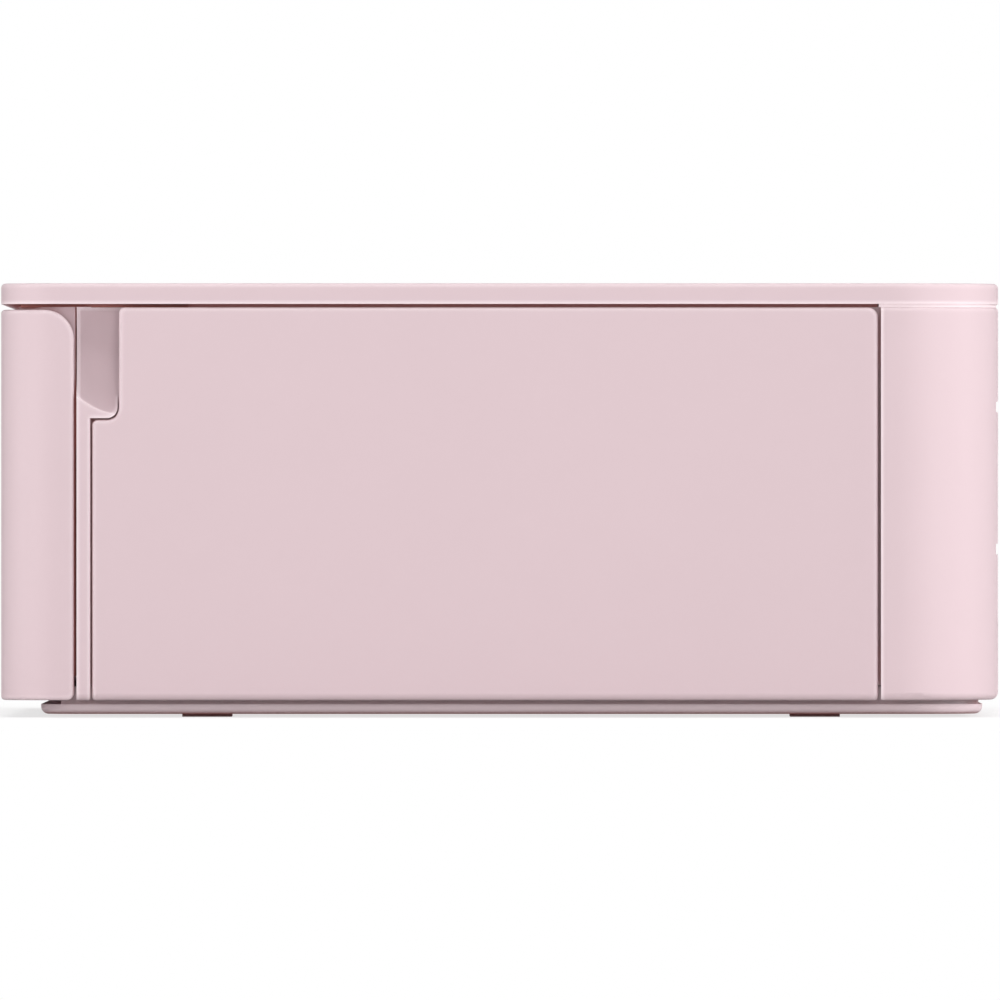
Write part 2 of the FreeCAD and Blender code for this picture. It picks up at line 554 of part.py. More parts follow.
# Places in the lid and along the paper path
KEYS = {
    "power_button": ("(pad_across - side_key_pitch)", "upper_row"),
    "back_button": ("pad_across", "upper_row"),
    "menu_button": ("(pad_across + side_key_pitch)", "upper_row"),
    "zoom_out_button": ("(pad_across - side_key_pitch)", "-key_row"),
    "print_button": ("pad_across", "-key_row"),
    "zoom_in_button": ("(pad_across + side_key_pitch)", "-key_row"),
}
KEY_TOP = "(overall_height - key_sink)"
FLANGE_TOP = f"({LID_BOTTOM} - key_play)"
FLANGE_LOW = f"({FLANGE_TOP} - flange_height)"
KEY_BOARD_TOP = f"({LID_BOTTOM} - key_board_drop)"
STEM_LOW = f"({KEY_BOARD_TOP} + switch_height + key_travel + running_play)"
LEFT_INNER = "(plate - chassis_left)"
RIGHT_OUTER = "(chassis_right + plate)"
GEAR_LEFT = "(-chassis_left - gear_gap - gear_width)"
IDLER_ALONG = "(platen_along + (platen_teeth + idler_teeth) * gear_module / 2 + gear_play)"
CAPSTAN_ALONG = f"({IDLER_ALONG} + (idler_teeth + capstan_teeth) * gear_module / 2 + gear_play)"
PINION_ALONG = "pinion_along"
PATH_TOP = "(drive_height + platen_radius)"
PINCH_UP = f"({PATH_TOP} + nip_gap + pinch_radius)"
HEAD_LOW = f"({PATH_TOP} + head_gap)"
HEAD_TOP = f"({HEAD_LOW} + head_height)"
BRACKET_RIGHT = f"({GEAR_LEFT} - bracket_gap)"
BRACKET_LEFT = f"({BRACKET_RIGHT} - plate)"
DISPLAY_MIDDLE = ("-display_across", "display_along")


def make_top_lid():
    """Top cover with the display recess, the key holes and posts for the key board."""
    lid = Piece("top_lid")
    lid.block((f"-{SIDE}", SIDE), (FRONT, REAR), (LID_BOTTOM, "overall_height"))
    lid.rounded("front_radius", at(x=f"-{SIDE}", y=FRONT), at(x=SIDE, y=FRONT))
    lid.rounded("rear_radius", at(x=f"-{SIDE}", y=REAR), at(x=SIDE, y=REAR))
    lid.rounded("edge_radius", at(z="overall_height"))
    across, along = DISPLAY_MIDDLE
    lid.block(around(across, "display_half_width + seam"), around(along, "display_half_depth + seam"),
              ("overall_height - display_thickness", "overall_height + overrun"), remove=True)
    lid.block(around(across, "display_half_width - display_rim"),
              around(along, "display_half_depth - display_rim"),
              (f"{LID_BOTTOM} - overrun", "overall_height"), remove=True)
    depth = "lid_thickness + 2 * overrun"
    for spot in KEYS.values():
        lid.rod("Z", "key_radius + key_play", (*spot, f"{LID_BOTTOM} - overrun"), depth, remove=True)
    lid.rod("Z", "ring_radius + key_play", ("pad_across", "pad_along", f"{LID_BOTTOM} - overrun"),
            depth, remove=True)
    make_lid_rim(lid)
    for side in around("pad_across", "key_board_half_width - post_inset"):
        for along_post in around("pad_along", "key_board_half_depth - post_inset"):
            lid.rod("Z", "post_radius", (side, along_post, KEY_BOARD_TOP), "key_board_drop + seam")


def make_lid_rim(lid):
    """Add the locating rim that stands inside the shell's walls."""
    low = f"{LID_BOTTOM} - lid_rim_height"
    up = (low, f"{LID_BOTTOM} + seam")
    left = f"(lid_rim_play - {INNER_SIDE})"
    right = f"({BAY_INNER} - lid_rim_play)"
    rear = f"({INNER_REAR} - lid_rim_play)"
    front = f"({STRIP_FRONT} + lid_rim_play)"
    corner = f"({SIDE} - rear_radius)"
    recess = f"({STRIP_FRONT} + recess_reach + lid_rim_play)"
    lid.block((left, f"{left} + lid_rim_thickness"), (front, f"{REAR} - rear_radius"), up)
    lid.block((f"{right} - lid_rim_thickness", right), (recess, "door_rear"), up)
    lid.block((f"-{corner}", corner), (f"{rear} - lid_rim_thickness", rear), up)
    lid.block((left, f"{SIDE} - recess_depth - lid_rim_play"), (front, f"{front} + lid_rim_thickness"), up)


def make_display():
    """Display panel under its flush glass."""
    across, along = DISPLAY_MIDDLE
    glass = Piece("display_glass")
    low = "overall_height - display_thickness"
    glass.block(around(across, "display_half_width"), around(along, "display_half_depth"),
                (low, "overall_height"))
    glass.rounded("display_corner", *(at(x=x, y=y) for x in around(across, "display_half_width")
                                      for y in around(along, "display_half_depth")))
    panel = Piece("display_panel")
    inset = "(display_rim + seam)"
    panel.block(around(across, f"display_half_width - {inset}"),
                around(along, f"display_half_depth - {inset}"), (f"{low} - panel_thickness", low))


def make_keys():
    """Round keys, the direction ring and the middle key, each with a flange and a stem."""
    for name, spot in KEYS.items():
        key = Piece(name)
        key.rod("Z", "key_radius", (*spot, FLANGE_LOW), f"{KEY_TOP} - {FLANGE_LOW}")
        key.rounded("edge_radius", at(z=KEY_TOP))
        key.rod("Z", "key_radius + key_flange", (*spot, FLANGE_LOW), "flange_height")
        key.rod("Z", "stem_radius", (*spot, STEM_LOW), f"{FLANGE_LOW} - {STEM_LOW} + seam")
    pad = ("pad_across", "pad_along")
    ring = Piece("direction_ring")
    ring.rod("Z", "ring_radius", (*pad, FLANGE_LOW), f"{KEY_TOP} - {FLANGE_LOW}")
    ring.rounded("edge_radius", at(z=KEY_TOP))
    ring.rod("Z", "ring_radius + key_flange", (*pad, FLANGE_LOW), "flange_height")
    reach = "(ring_radius - key_radius)"
    for spot in ((f"pad_across - {reach}", pad[1]), (f"pad_across + {reach}", pad[1]),
                 (pad[0], f"pad_along - {reach}"), (pad[0], f"pad_along + {reach}")):
        ring.rod("Z", "stem_radius", (*spot, STEM_LOW), f"{FLANGE_LOW} - {STEM_LOW} + seam")
    ring.rod("Z", "ok_radius + key_play", (*pad, f"{FLANGE_LOW} - overrun"),
             f"overall_height - {FLANGE_LOW} + 2 * overrun", remove=True)
    middle = Piece("ok_button")
    middle.rod("Z", "ok_radius", (*pad, FLANGE_LOW), f"{KEY_TOP} - {FLANGE_LOW}")
    middle.rounded("edge_radius", at(z=KEY_TOP))
    middle.rod("Z", "stem_radius", (*pad, STEM_LOW), f"{FLANGE_LOW} - {STEM_LOW} + seam")


def make_key_board():
    """Circuit board under the keys, with a press switch under each stem."""
    board = Piece("key_board")
    board.block(around("pad_across", "key_board_half_width"), around("pad_along", "key_board_half_depth"),
                (f"{KEY_BOARD_TOP} - board_thickness", KEY_BOARD_TOP))
    reach = "(ring_radius - key_radius)"
    spots = [*KEYS.values(), ("pad_across", "pad_along"),
             (f"(pad_across - {reach})", "pad_along"), (f"(pad_across + {reach})", "pad_along"),
             ("pad_across", f"(pad_along - {reach})"), ("pad_across", f"(pad_along + {reach})")]
    for across, along in spots:
        board.block(around(across, "switch_half"), around(along, "switch_half"),
                    (KEY_BOARD_TOP, f"{KEY_BOARD_TOP} + switch_height"))


def make_chassis():
    """Steel side plates that carry the rollers, with the window for the ink cassette."""
    bores = (("platen_along", "drive_height", "spindle_radius"),
             (CAPSTAN_ALONG, "drive_height", "spindle_radius"),
             (CAPSTAN_ALONG, PINCH_UP, "pivot_radius"),
             ("-pickup_along", "pickup_height", "spindle_radius"),
             ("head_pivot_along", "bracket_low + bracket_plate / 2", "pivot_radius"))
    for name, low in (("chassis_left_plate", "-chassis_left"), ("chassis_right_plate", "chassis_right")):
        side = Piece(name)
        side.block((low, f"{low} + plate"), ("-chassis_front", "chassis_rear"),
                   ("floor_top", "chassis_top"))
        for along, up, radius in bores:
            side.rod("X", f"{radius} + running_play", (f"{low} - overrun", along, up),
                     "plate + 2 * overrun", remove=True)
        if name == "chassis_right_plate":
            reach = "tube_radius + window_play"
            side.block((f"{low} - overrun", f"{low} + plate + overrun"),
                       (f"supply_along - ({reach})", f"takeup_along + {reach}"),
                       (f"spool_height - ({reach})", "spool_height + tube_radius + arm_play"), remove=True)
        else:
            for along in ("supply_along", "takeup_along"):
                side.rod("X", "core_radius + running_play", (f"{low} - overrun", along, "spool_height"),
                         "plate + 2 * overrun", remove=True)
            side.rod("X", "spindle_radius", (f"{GEAR_LEFT} - shaft_reach", IDLER_ALONG, "drive_height"),
                     "gear_width + gear_gap + shaft_reach + seam")


def make_roller(name, radius, spindle, along, up, left, right, wheels):
    """Roller on its spindle, which runs from left to right through the side plates."""
    roller = Piece(name)
    for low, high in wheels:
        roller.rod("X", radius, (low, "0", "0"), f"{high} - ({low})")
    roller.rod("X", spindle, (left, "0", "0"), f"{right} - {left}")
    roller.moved(("0", along, up))
    return roller


def make_rollers():
    """Platen, capstan, pinch and pickup rollers of the paper path."""
    right = f"({RIGHT_OUTER} + shaft_reach)"
    left = "(-chassis_left - shaft_reach)"
    driven_left = f"({GEAR_LEFT} - shaft_reach)"
    full = (("-roller_half", "roller_half"),)
    make_roller("platen_roller", "platen_radius", "spindle_radius", "platen_along", "drive_height",
                driven_left, right, full)
    make_roller("capstan_roller", "platen_radius", "spindle_radius", CAPSTAN_ALONG, "drive_height",
                driven_left, right, full)
    make_roller("pinch_roller", "pinch_radius", "pivot_radius", CAPSTAN_ALONG, PINCH_UP, left, right, full)
    wheels = [around(f"({side}pickup_spread)", "pickup_half_width") for side in SIGNS]
    make_roller("pickup_roller", "pickup_radius", "spindle_radius", "-pickup_along", "pickup_height",
                left, right, wheels)


def make_gear(name, teeth, bore, along, half_step):
    """Spur gear with tapered teeth, a bore and a tooth or a gap that points to the rear."""
    gear = Piece(name)
    pitch = f"({teeth} * gear_module / 2)"
    root = f"({pitch} - root_share * gear_module)"
    tip = f"({pitch} + rise_share * gear_module)"
    arc = "(gear_module * pitch_share)"
    gear.rod("X", root, ("0", "0", "0"), "gear_width")
    flank = ((f"{root} - gear_module", f"-tooth_share * {arc}"), (tip, f"-tip_share * {arc}"),
             (tip, f"tip_share * {arc}"), (f"{root} - gear_module", f"tooth_share * {arc}"))
    tooth = gear.outline("YZ_Plane", flank, "0", "gear_width")
    gear.in_circle(tooth, "X", teeth)
    gear.rod("X", bore, ("0", "0", "0"), "gear_width", remove=True)
    gear.moved((GEAR_LEFT, along, "drive_height"))
    turn = number(f"half_turn / {teeth}") if half_step else 0
    gear.body.Placement = FreeCAD.Placement(FreeCAD.Vector(), FreeCAD.Rotation(FreeCAD.Vector(1, 0, 0), turn))


def make_gears():
    """Gear train on the outer side of the left plate, from the motor to both drive rollers."""
    make_gear("platen_gear", "platen_teeth", "spindle_radius", "platen_along", False)
    make_gear("idler_gear", "idler_teeth", "spindle_radius + running_play", IDLER_ALONG, True)
    make_gear("capstan_gear", "capstan_teeth", "spindle_radius", CAPSTAN_ALONG, False)
    make_gear("motor_pinion", "pinion_teeth", "motor_shaft", PINION_ALONG, True)


def make_motor():
    """Stepper motor, its shaft and the bracket that holds it beside the left plate."""
    motor = Piece("drive_motor")
    spot = (PINION_ALONG, "drive_height")
    motor.rod("X", "motor_radius", (f"{BRACKET_LEFT} - motor_length", *spot), "motor_length")
    motor.rounded("edge_radius", at(x=f"{BRACKET_LEFT} - motor_length"))
    shaft = Piece("motor_shaft_pin")
    shaft.rod("X", "motor_shaft", (f"{BRACKET_LEFT} + running_play", *spot),
              f"{GEAR_LEFT} + gear_width - {BRACKET_LEFT} - running_play")
    bracket = Piece("motor_bracket")
    low = "(drive_height - bracket_half)"
    bracket.block((BRACKET_LEFT, BRACKET_RIGHT), around(PINION_ALONG, "bracket_half"),
                  (low, "drive_height + bracket_half"))
    bracket.rod("X", "motor_shaft + running_play", (f"{BRACKET_LEFT} - overrun", *spot),
                "plate + 2 * overrun", remove=True)
    for up in around("drive_height", "bracket_half - post_inset"):
        bracket.rod("X", "post_radius",
                    (f"{BRACKET_RIGHT} - seam", f"{PINION_ALONG} - bracket_half + post_inset", up),
                    f"seam - chassis_left - {BRACKET_RIGHT}")


def make_ink_cassette():
    """Ink cassette: two tubes joined by end frames, its spools and the ribbon between them."""
    case = Piece("ink_cassette_case")
    run = ("-cassette_left", "cassette_right")
    rear_edge, front_edge = "takeup_along + tube_radius", "supply_along - tube_radius"
    for low, high in ((run[0], "end_frame - cassette_left"), ("cassette_right - end_frame", run[1])):
        case.block((low, high), (front_edge, rear_edge),
                   ("spool_height - tube_radius / 2", "spool_height + tube_radius"))
    for along in ("supply_along", "takeup_along"):
        case.rod("X", "tube_radius", (run[0], along, "spool_height"), "cassette_right + cassette_left")
    case.block(("cassette_right - seam", "cassette_right + grip_reach"), ("supply_along", "takeup_along"),
               around("spool_height", "grip_thickness / 2"))
    case.rounded("edge_radius", at(x="cassette_right + grip_reach"))
    for along in ("supply_along", "takeup_along"):
        case.rod("X", "tube_radius - tube_wall", ("tube_wall - cassette_left", along, "spool_height"),
                 "cassette_right + cassette_left - 2 * tube_wall", remove=True)
        case.rod("X", "core_radius + running_play", ("-cassette_left - overrun", along, "spool_height"),
                 "tube_wall + 2 * overrun", remove=True)
        case.block(("end_frame - cassette_left", "cassette_right - end_frame"),
                   around(along, "tube_radius / 2"),
                   ("spool_height - tube_radius - overrun", "spool_height - tube_radius / 2"), remove=True)
    for name, along, wound in (("supply_spool", "supply_along", "supply_wound"),
                               ("takeup_spool", "takeup_along", "takeup_wound")):
        spool = Piece(name)
        spool.rod("X", "core_radius", (f"-chassis_left - shaft_reach", "0", "0"),
                  "chassis_left + cassette_right - tube_wall - side_play + shaft_reach")
        spool.rod("X", wound, ("-head_half", "0", "0"), "2 * head_half")
        spool.moved(("0", along, "spool_height"))


def make_print_head():
    """Thermal head, its finned heat sink and the pivoted bracket that lifts both."""
    depth = around("platen_along", "head_depth / 2")
    width = ("-head_half", "head_half")
    head = Piece("thermal_head")
    head.block(width, depth, (HEAD_LOW, HEAD_TOP))
    head.rounded("window_play", at(y=depth[0], z=HEAD_LOW), at(y=depth[1], z=HEAD_LOW))
    sink = Piece("heat_sink")
    base = f"({HEAD_TOP} + sink_base)"
    sink.block(width, depth, (HEAD_TOP, base))
    fin = sink.block(width, (depth[0], f"{depth[0]} + fin_thickness"), (base, "bracket_low"))
    sink.in_row(fin, "Y", "head_depth - fin_thickness", "fin_count")
    bracket = Piece("head_bracket")
    inner = (f"{LEFT_INNER} + arm_play", "chassis_right - arm_play")
    up = ("bracket_low", "bracket_low + bracket_plate")
    bracket.block(inner, depth, up)
    pivot = ("head_pivot_along", "bracket_low + bracket_plate / 2")
    for low in (inner[0], f"{inner[1]} - arm_width"):
        bracket.block((low, f"{low} + arm_width"), (depth[0], pivot[0]), up)
    for low, high in (("-chassis_left", f"{inner[0]} + arm_width"), (f"{inner[1]} - arm_width", RIGHT_OUTER)):
        bracket.rod("X", "pivot_radius", (low, *pivot), f"{high} - ({low})")


def make_electronics():
    """Main board with its card slot, port and power socket, and the pillars under it."""
    top = "(board_bottom + board_thickness)"
    board = Piece("main_board")
    board.block(("-board_outer", "-board_inner"), ("-board_front", "board_rear"), ("board_bottom", top))
    for across in ("-board_outer + post_inset", "-board_inner - post_inset"):
        for along in ("post_inset - board_front", "board_rear - post_inset"):
            board.rod("Z", "pillar_radius", (across, along, "floor_top"), "board_bottom - floor_top")
    outer = f"(seam - {INNER_SIDE})"
    slot = Piece("card_slot")
    slot.block((outer, f"{outer} + card_depth"), around("-card_along", "card_width / 2"),
               (top, f"{top} + card_height"))
    slot.block((f"{outer} - overrun", f"{outer} + card_depth - window_play"),
               around("-card_along", "card_width / 2 - window_play"),
               (f"{top} + card_lip", f"{top} + card_height - card_lip"), remove=True)
    port = Piece("data_port")
    port.block((outer, f"{outer} + port_depth"), around("port_along", "port_width / 2"),
               (top, f"{top} + port_height"))
    port.rounded("port_height / 2 - running_play", at(y="port_along - port_width / 2", z=top),
                 at(y="port_along + port_width / 2", z=top),
                 at(y="port_along - port_width / 2", z=f"{top} + port_height"),
                 at(y="port_along + port_width / 2", z=f"{top} + port_height"))
    socket = Piece("power_socket")
    middle = "(-socket_across)"
    face = f"({INNER_REAR} - seam)"
    socket.block(around(middle, "socket_block / 2"), (f"{face} - socket_depth", face),
                 around("socket_height", "socket_block / 2"))
    socket.rod("Y", "socket_radius - seam", (middle, f"{face} - seam", "socket_height"),
               "wall + 2 * seam - edge_radius")
    socket.rod("Y", "socket_bore", (middle, f"{face} - socket_depth + wall", "socket_height"),
               "socket_depth + wall", remove=True)
    socket.rod("Y", "socket_pin", (middle, f"{face} - socket_depth + wall - seam", "socket_height"),
               "socket_depth - wall")


def make_fan():
    """Cooling fan behind the rear vents: its frame and its bladed wheel."""
    frame = Piece("fan_frame")
    rear = f"({INNER_REAR} - side_play)"
    front = f"({rear} - fan_depth)"
    centre = ("vent_across", "fan_height")
    frame.block(around(centre[0], "fan_half"), (front, rear), around(centre[1], "fan_half"))
    frame.rod("Y", "fan_bore", (centre[0], f"{front} - overrun", centre[1]),
              "fan_depth + 2 * overrun", remove=True)
    frame.block(around(centre[0], "fan_bore + seam"), (front, f"{front} + fan_thin"),
                around(centre[1], "fan_strut / 2"))
    frame.rod("Y", "fan_hub", (centre[0], front, centre[1]), "fan_thin")
    frame.rod("Y", "pivot_radius - running_play", (centre[0], front, centre[1]), "fan_depth / 2")
    wheel = Piece("fan_wheel")
    depth = "(fan_depth - 2 * fan_thin)"
    wheel.rod("Y", "fan_hub", ("0", "0", "0"), depth)
    blade = wheel.block(("0", "fan_bore - blade_tip_gap"), around("fan_depth / 2 - fan_thin", f"{depth} / 2"),
                        around("0", "blade_thickness / 2"))
    wheel.in_circle(blade, "Y", "fan_blades")
    wheel.rod("Y", "pivot_radius", ("0", "0", "0"), "fan_depth / 2 - fan_thin + running_play", remove=True)
    wheel.moved((centre[0], f"({front} + fan_thin + side_play)", centre[1]))


def make_screws():
    """Four screws that hold the bottom case, sunk in its floor."""
    screws = Piece("case_screws")
    for side in SIGNS:
        for along in ("-screw_front", "screw_rear"):
            spot = (f"({side}screw_side)", along)
            screws.rod("Z", "screw_head - screw_play", (*spot, "plinth_bottom + screw_play"),
                       "head_thickness - screw_play")
            screws.rod("Z", "screw_radius - screw_play", (*spot, "plinth_bottom + head_thickness - seam"),
                       "floor_top - plinth_bottom - head_thickness")


def write_parts():
    """Check every object, then write one file per piece."""
    document.recompute()
    for item in document.Objects:
        if "Invalid" in item.State or "Error" in item.State:
            owner = item.getParentGeoFeatureGroup()
            raise RuntimeError(f"{item.Name} of {owner.Label if owner else document.Label} failed")
    os.makedirs("parts", exist_ok=True)
    for body in pieces:
        if body.Shape.isNull() or not body.Shape.isValid():
            raise RuntimeError(f"{body.Label} has no valid shape")
    for body in pieces:
        body.Shape.exportStep(f"parts/{body.Label}.step")
        solids = len(body.Shape.Solids)
        print(f"{body.Label}: {solids} solid(s), {body.Shape.Volume:.0f} cubic millimetres")


make_bottom_case()
make_feet()
make_main_shell()
make_front_cover()
make_cover_pins()
make_front_frame()
make_ink_door()
make_door_pins()
make_top_lid()
make_display()
make_keys()
make_key_board()
make_chassis()
make_rollers()
make_gears()
make_motor()
make_ink_cassette()
make_print_head()
make_electronics()
make_fan()
make_screws()
write_parts()
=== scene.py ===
"""Looks of the compact photo printer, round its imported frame, in metres."""

import json
import logging
import math
from dataclasses import dataclass, field
from enum import Enum
from typing import Sequence

import bmesh
import bpy
from mathutils import Matrix, Vector

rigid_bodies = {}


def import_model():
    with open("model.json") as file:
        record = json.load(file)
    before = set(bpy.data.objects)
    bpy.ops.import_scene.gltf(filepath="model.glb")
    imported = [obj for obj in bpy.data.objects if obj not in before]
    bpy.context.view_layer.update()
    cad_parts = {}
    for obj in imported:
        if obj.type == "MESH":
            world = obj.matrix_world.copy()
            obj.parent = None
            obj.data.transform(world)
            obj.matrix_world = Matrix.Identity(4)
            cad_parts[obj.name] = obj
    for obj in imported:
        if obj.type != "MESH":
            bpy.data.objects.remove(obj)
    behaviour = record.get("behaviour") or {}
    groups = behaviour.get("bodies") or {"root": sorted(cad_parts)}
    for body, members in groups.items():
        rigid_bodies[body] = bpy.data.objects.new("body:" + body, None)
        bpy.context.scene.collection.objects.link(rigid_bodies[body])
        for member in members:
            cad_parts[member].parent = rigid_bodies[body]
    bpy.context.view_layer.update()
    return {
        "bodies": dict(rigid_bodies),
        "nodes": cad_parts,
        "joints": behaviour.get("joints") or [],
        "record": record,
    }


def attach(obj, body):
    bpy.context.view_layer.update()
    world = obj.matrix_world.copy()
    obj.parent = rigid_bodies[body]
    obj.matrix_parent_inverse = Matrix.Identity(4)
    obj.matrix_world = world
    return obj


MM = 0.001
LOG = logging.getLogger("photo_printer")
Pair = tuple[float, float]
Point = tuple[float, float, float]
Colour = tuple[float, float, float, float]
BLACK: Colour = (0.0, 0.0, 0.0, 1.0)
WHITE: Colour = (1.0, 1.0, 1.0, 1.0)
# Faces across each rounded edge, and the sharpest edge that still shades smoothly
EDGE_STEPS = 2
SMOOTH_UP_TO = math.radians(35)
# Turns a sheet that runs along X upright, so that its points lie in X and Y
UPRIGHT = Matrix(((0, 1, 0, 0), (0, 0, 1, 0), (1, 0, 0, 0), (0, 0, 0, 1)))


def linear(hex_colour: str) -> Colour:
    """Turn an sRGB hex colour to linear light.

    Args:
        hex_colour: Six hex digits, such as "DDC9CE".

    Returns:
        Linear red, green, blue and full alpha.
    """
    channels = [int(hex_colour[start:start + 2], 16) / 255 for start in (0, 2, 4)]
    red, green, blue = (c / 12.92 if c <= 0.04045 else ((c + 0.055) / 1.055) ** 2.4
                        for c in channels)
    return (red, green, blue, 1.0)


def scaled(tone: Colour, factor: float) -> Colour:
    """Make a colour lighter or darker.

    Args:
        tone: A linear colour.
        factor: What its red, green and blue are multiplied by.

    Returns:
        The new colour, with the same alpha.
    """
    red, green, blue, alpha = tone
    return (red * factor, green * factor, blue * factor, alpha)


def add_node(tree: bpy.types.NodeTree, kind: str, settings: dict | None = None,
             links: dict | None = None) -> bpy.types.Node:
    """Add a node with its settings and links.

    Args:
        tree: The node tree of a material or world.
        kind: The node's type, without its ShaderNode prefix.
        settings: Values by attribute name, or by input name or number.
        links: Sockets that feed the node, by input name or number.

    Returns:
        The new node.
    """
    node = tree.nodes.new("ShaderNode" + kind)
    for key, value in (settings or {}).items():
        if isinstance(key, str) and hasattr(node, key):
            setattr(node, key, value)
        else:
            node.inputs[key].default_value = value
    for key, socket in (links or {}).items():
        tree.links.new(socket, node.inputs[key])
    return node


def new_tree(name: str) -> tuple[bpy.types.Material, bpy.types.NodeTree, bpy.types.NodeSocket]:
    """Start an empty material.

    Args:
        name: The material's name.

    Returns:
        The material, its node tree and the socket with places in metres.
    """
    material = bpy.data.materials.new(name)
    material.use_nodes = True
    material.node_tree.nodes.clear()
    places = add_node(material.node_tree, "TexCoord").outputs["Object"]
    return material, material.node_tree, places


class Along(Enum):
    """Direction in which a surface's fine lines run, as the scale of its noise."""

    X = (0.02, 1.0, 1.0)
    Y = (1.0, 0.02, 1.0)
    Z = (1.0, 1.0, 0.02)


@dataclass(frozen=True)
class MouldedPolymer:
    """Injection moulded plastic, rubber or ink with a fine even grain.

    A painted shade colour darkens joints and hollows where little light reaches, and those places
    also give it off as a faint painted glow; a painted highlight colour is a pale line painted
    along edges in place of a real highlight. Both are found from how open the place is, outside or
    inside the wall.
    """

    name: str
    colour: str
    roughness: float = 0.42
    roughness_spread: float = 0.05
    # The mould's real grain is about 0.1 mm, which is drawn coarser so that it shows
    grain_mm: float = 0.45
    grain_depth_mm: float = 0.012
    grain_strength: float = 0.35
    drift_mm: float = 38.0
    mottling: float = 0.03
    ior: float = 1.5
    painted_highlight: str = ""
    painted_highlight_mm: float = 0.6
    painted_highlight_share: float = 0.9
    painted_highlight_open: Pair = (0.62, 0.9)
    painted_shade: str = ""
    painted_shade_mm: float = 1.5
    painted_shade_share: float = 0.95
    painted_shade_open: Pair = (0.08, 0.45)
    painted_glow_strength: float = 0.6
    rays: int = 4

    def material(self) -> bpy.types.Material:
        """Make the finish: soft tone drift, even grain, painted shade and glow in joints and
        painted highlights on edges.

        Returns:
            The material.
        """
        material, tree, places = new_tree(self.name)
        tone = linear(self.colour)
        drift = add_node(tree, "TexNoise", {"Scale": 1 / (self.drift_mm * MM), "Detail": 3.0},
                         {"Vector": places})
        colour = add_node(tree, "MixRGB",
                          {"Color1": scaled(tone, 1 - self.mottling), "Color2": tone},
                          {"Fac": drift.outputs["Fac"]})
        grain = add_node(tree, "TexNoise", {"Scale": 1 / (self.grain_mm * MM), "Detail": 2.0},
                         {"Vector": places})
        gloss = add_node(tree, "MapRange", {"To Min": self.roughness - self.roughness_spread,
                                            "To Max": self.roughness + self.roughness_spread},
                         {"Value": grain.outputs["Fac"]})
        bump = add_node(tree, "Bump", {"Strength": self.grain_strength,
                                       "Distance": self.grain_depth_mm * MM},
                        {"Height": grain.outputs["Fac"]})
        # Painted highlight: a pale colour mixed in along edges, where the wall is thin, in place of
        # a real highlight
        if self.painted_highlight:
            inner = add_node(tree, "AmbientOcclusion",
                             {"inside": True, "only_local": True, "samples": self.rays,
                              "Distance": self.painted_highlight_mm * MM})
            edge = add_node(tree, "MapRange",
                            {"From Min": self.painted_highlight_open[0], "From Max": self.painted_highlight_open[1],
                             "To Min": self.painted_highlight_share, "To Max": 0.0},
                            {"Value": inner.outputs["AO"]})
            colour = add_node(tree, "MixRGB", {"Color2": linear(self.painted_highlight)},
                              {"Fac": edge.outputs[0], "Color1": colour.outputs[0]})
        # Painted shade: a warm dark colour mixed in where the surface is closed in, in joints and
        # hollows
        if self.painted_shade:
            outer = add_node(tree, "AmbientOcclusion",
                             {"samples": self.rays, "Distance": self.painted_shade_mm * MM})
            painted_shade_mask = add_node(tree, "MapRange",
                            {"From Min": self.painted_shade_open[0], "From Max": self.painted_shade_open[1],
                             "To Min": self.painted_shade_share, "To Max": 0.0},
                            {"Value": outer.outputs["AO"]})
            colour = add_node(tree, "MixRGB", {"Color2": linear(self.painted_shade)},
                              {"Fac": painted_shade_mask.outputs[0], "Color1": colour.outputs[0]})
        shader = add_node(tree, "BsdfPrincipled", {"IOR": self.ior},
                          {"Base Color": colour.outputs[0], "Roughness": gloss.outputs[0],
                           "Normal": bump.outputs[0]})
        # Painted glow: the joints and hollows give off that warm dark colour as light, though no
        # lamp is there
        if self.painted_shade:
            painted_glow_colour = add_node(tree, "MixRGB", {"Color1": BLACK, "Color2": linear(self.painted_shade)},
                            {"Fac": painted_shade_mask.outputs[0]})
            tree.links.new(painted_glow_colour.outputs[0], shader.inputs["Emission Color"])
            shader.inputs["Emission Strength"].default_value = self.painted_glow_strength
        add_node(tree, "OutputMaterial", links={"Surface": shader.outputs[0]})
        return material


@dataclass(frozen=True)
class WorkedMetal:
    """Metal with the fine lines of rolling, grinding or extrusion."""

    name: str
    colour: str
    roughness: float = 0.3
    roughness_spread: Pair = (0.08, 0.1)
    # Real grinding lines are about 0.05 mm wide, which are drawn coarser so that they show
    line_mm: float = 0.25
    line_depth_mm: float = 0.01
    line_strength: float = 0.25
    along: Along = Along.X
    cloud_mm: float = 11.0
    stain: float = 0.16

    def material(self) -> bpy.types.Material:
        """Make the finish: bright metal with lines one way and a faint cloudy stain.

        Returns:
            The material.
        """
        material, tree, places = new_tree(self.name)
        tone = linear(self.colour)
        stretched = add_node(tree, "Mapping", {"Scale": self.along.value}, {"Vector": places})
        lines = add_node(tree, "TexNoise", {"Scale": 1 / (self.line_mm * MM), "Detail": 4.0},
                         {"Vector": stretched.outputs[0]})
        cloud = add_node(tree, "TexNoise", {"Scale": 1 / (self.cloud_mm * MM), "Detail": 5.0},
                         {"Vector": places})
        colour = add_node(tree, "MixRGB",
                          {"Color1": scaled(tone, 1 - self.stain), "Color2": tone},
                          {"Fac": cloud.outputs["Fac"]})
        less, more = self.roughness_spread
        gloss = add_node(tree, "MapRange",
                         {"To Min": self.roughness - less, "To Max": self.roughness + more},
                         {"Value": lines.outputs["Fac"]})
        bump = add_node(tree, "Bump", {"Strength": self.line_strength,
                                       "Distance": self.line_depth_mm * MM},
                        {"Height": lines.outputs["Fac"]})
        shader = add_node(tree, "BsdfPrincipled", {"Metallic": 1.0},
                          {"Base Color": colour.outputs[0], "Roughness": gloss.outputs[0],
                           "Normal": bump.outputs[0]})
        add_node(tree, "OutputMaterial", links={"Surface": shader.outputs[0]})
        return material


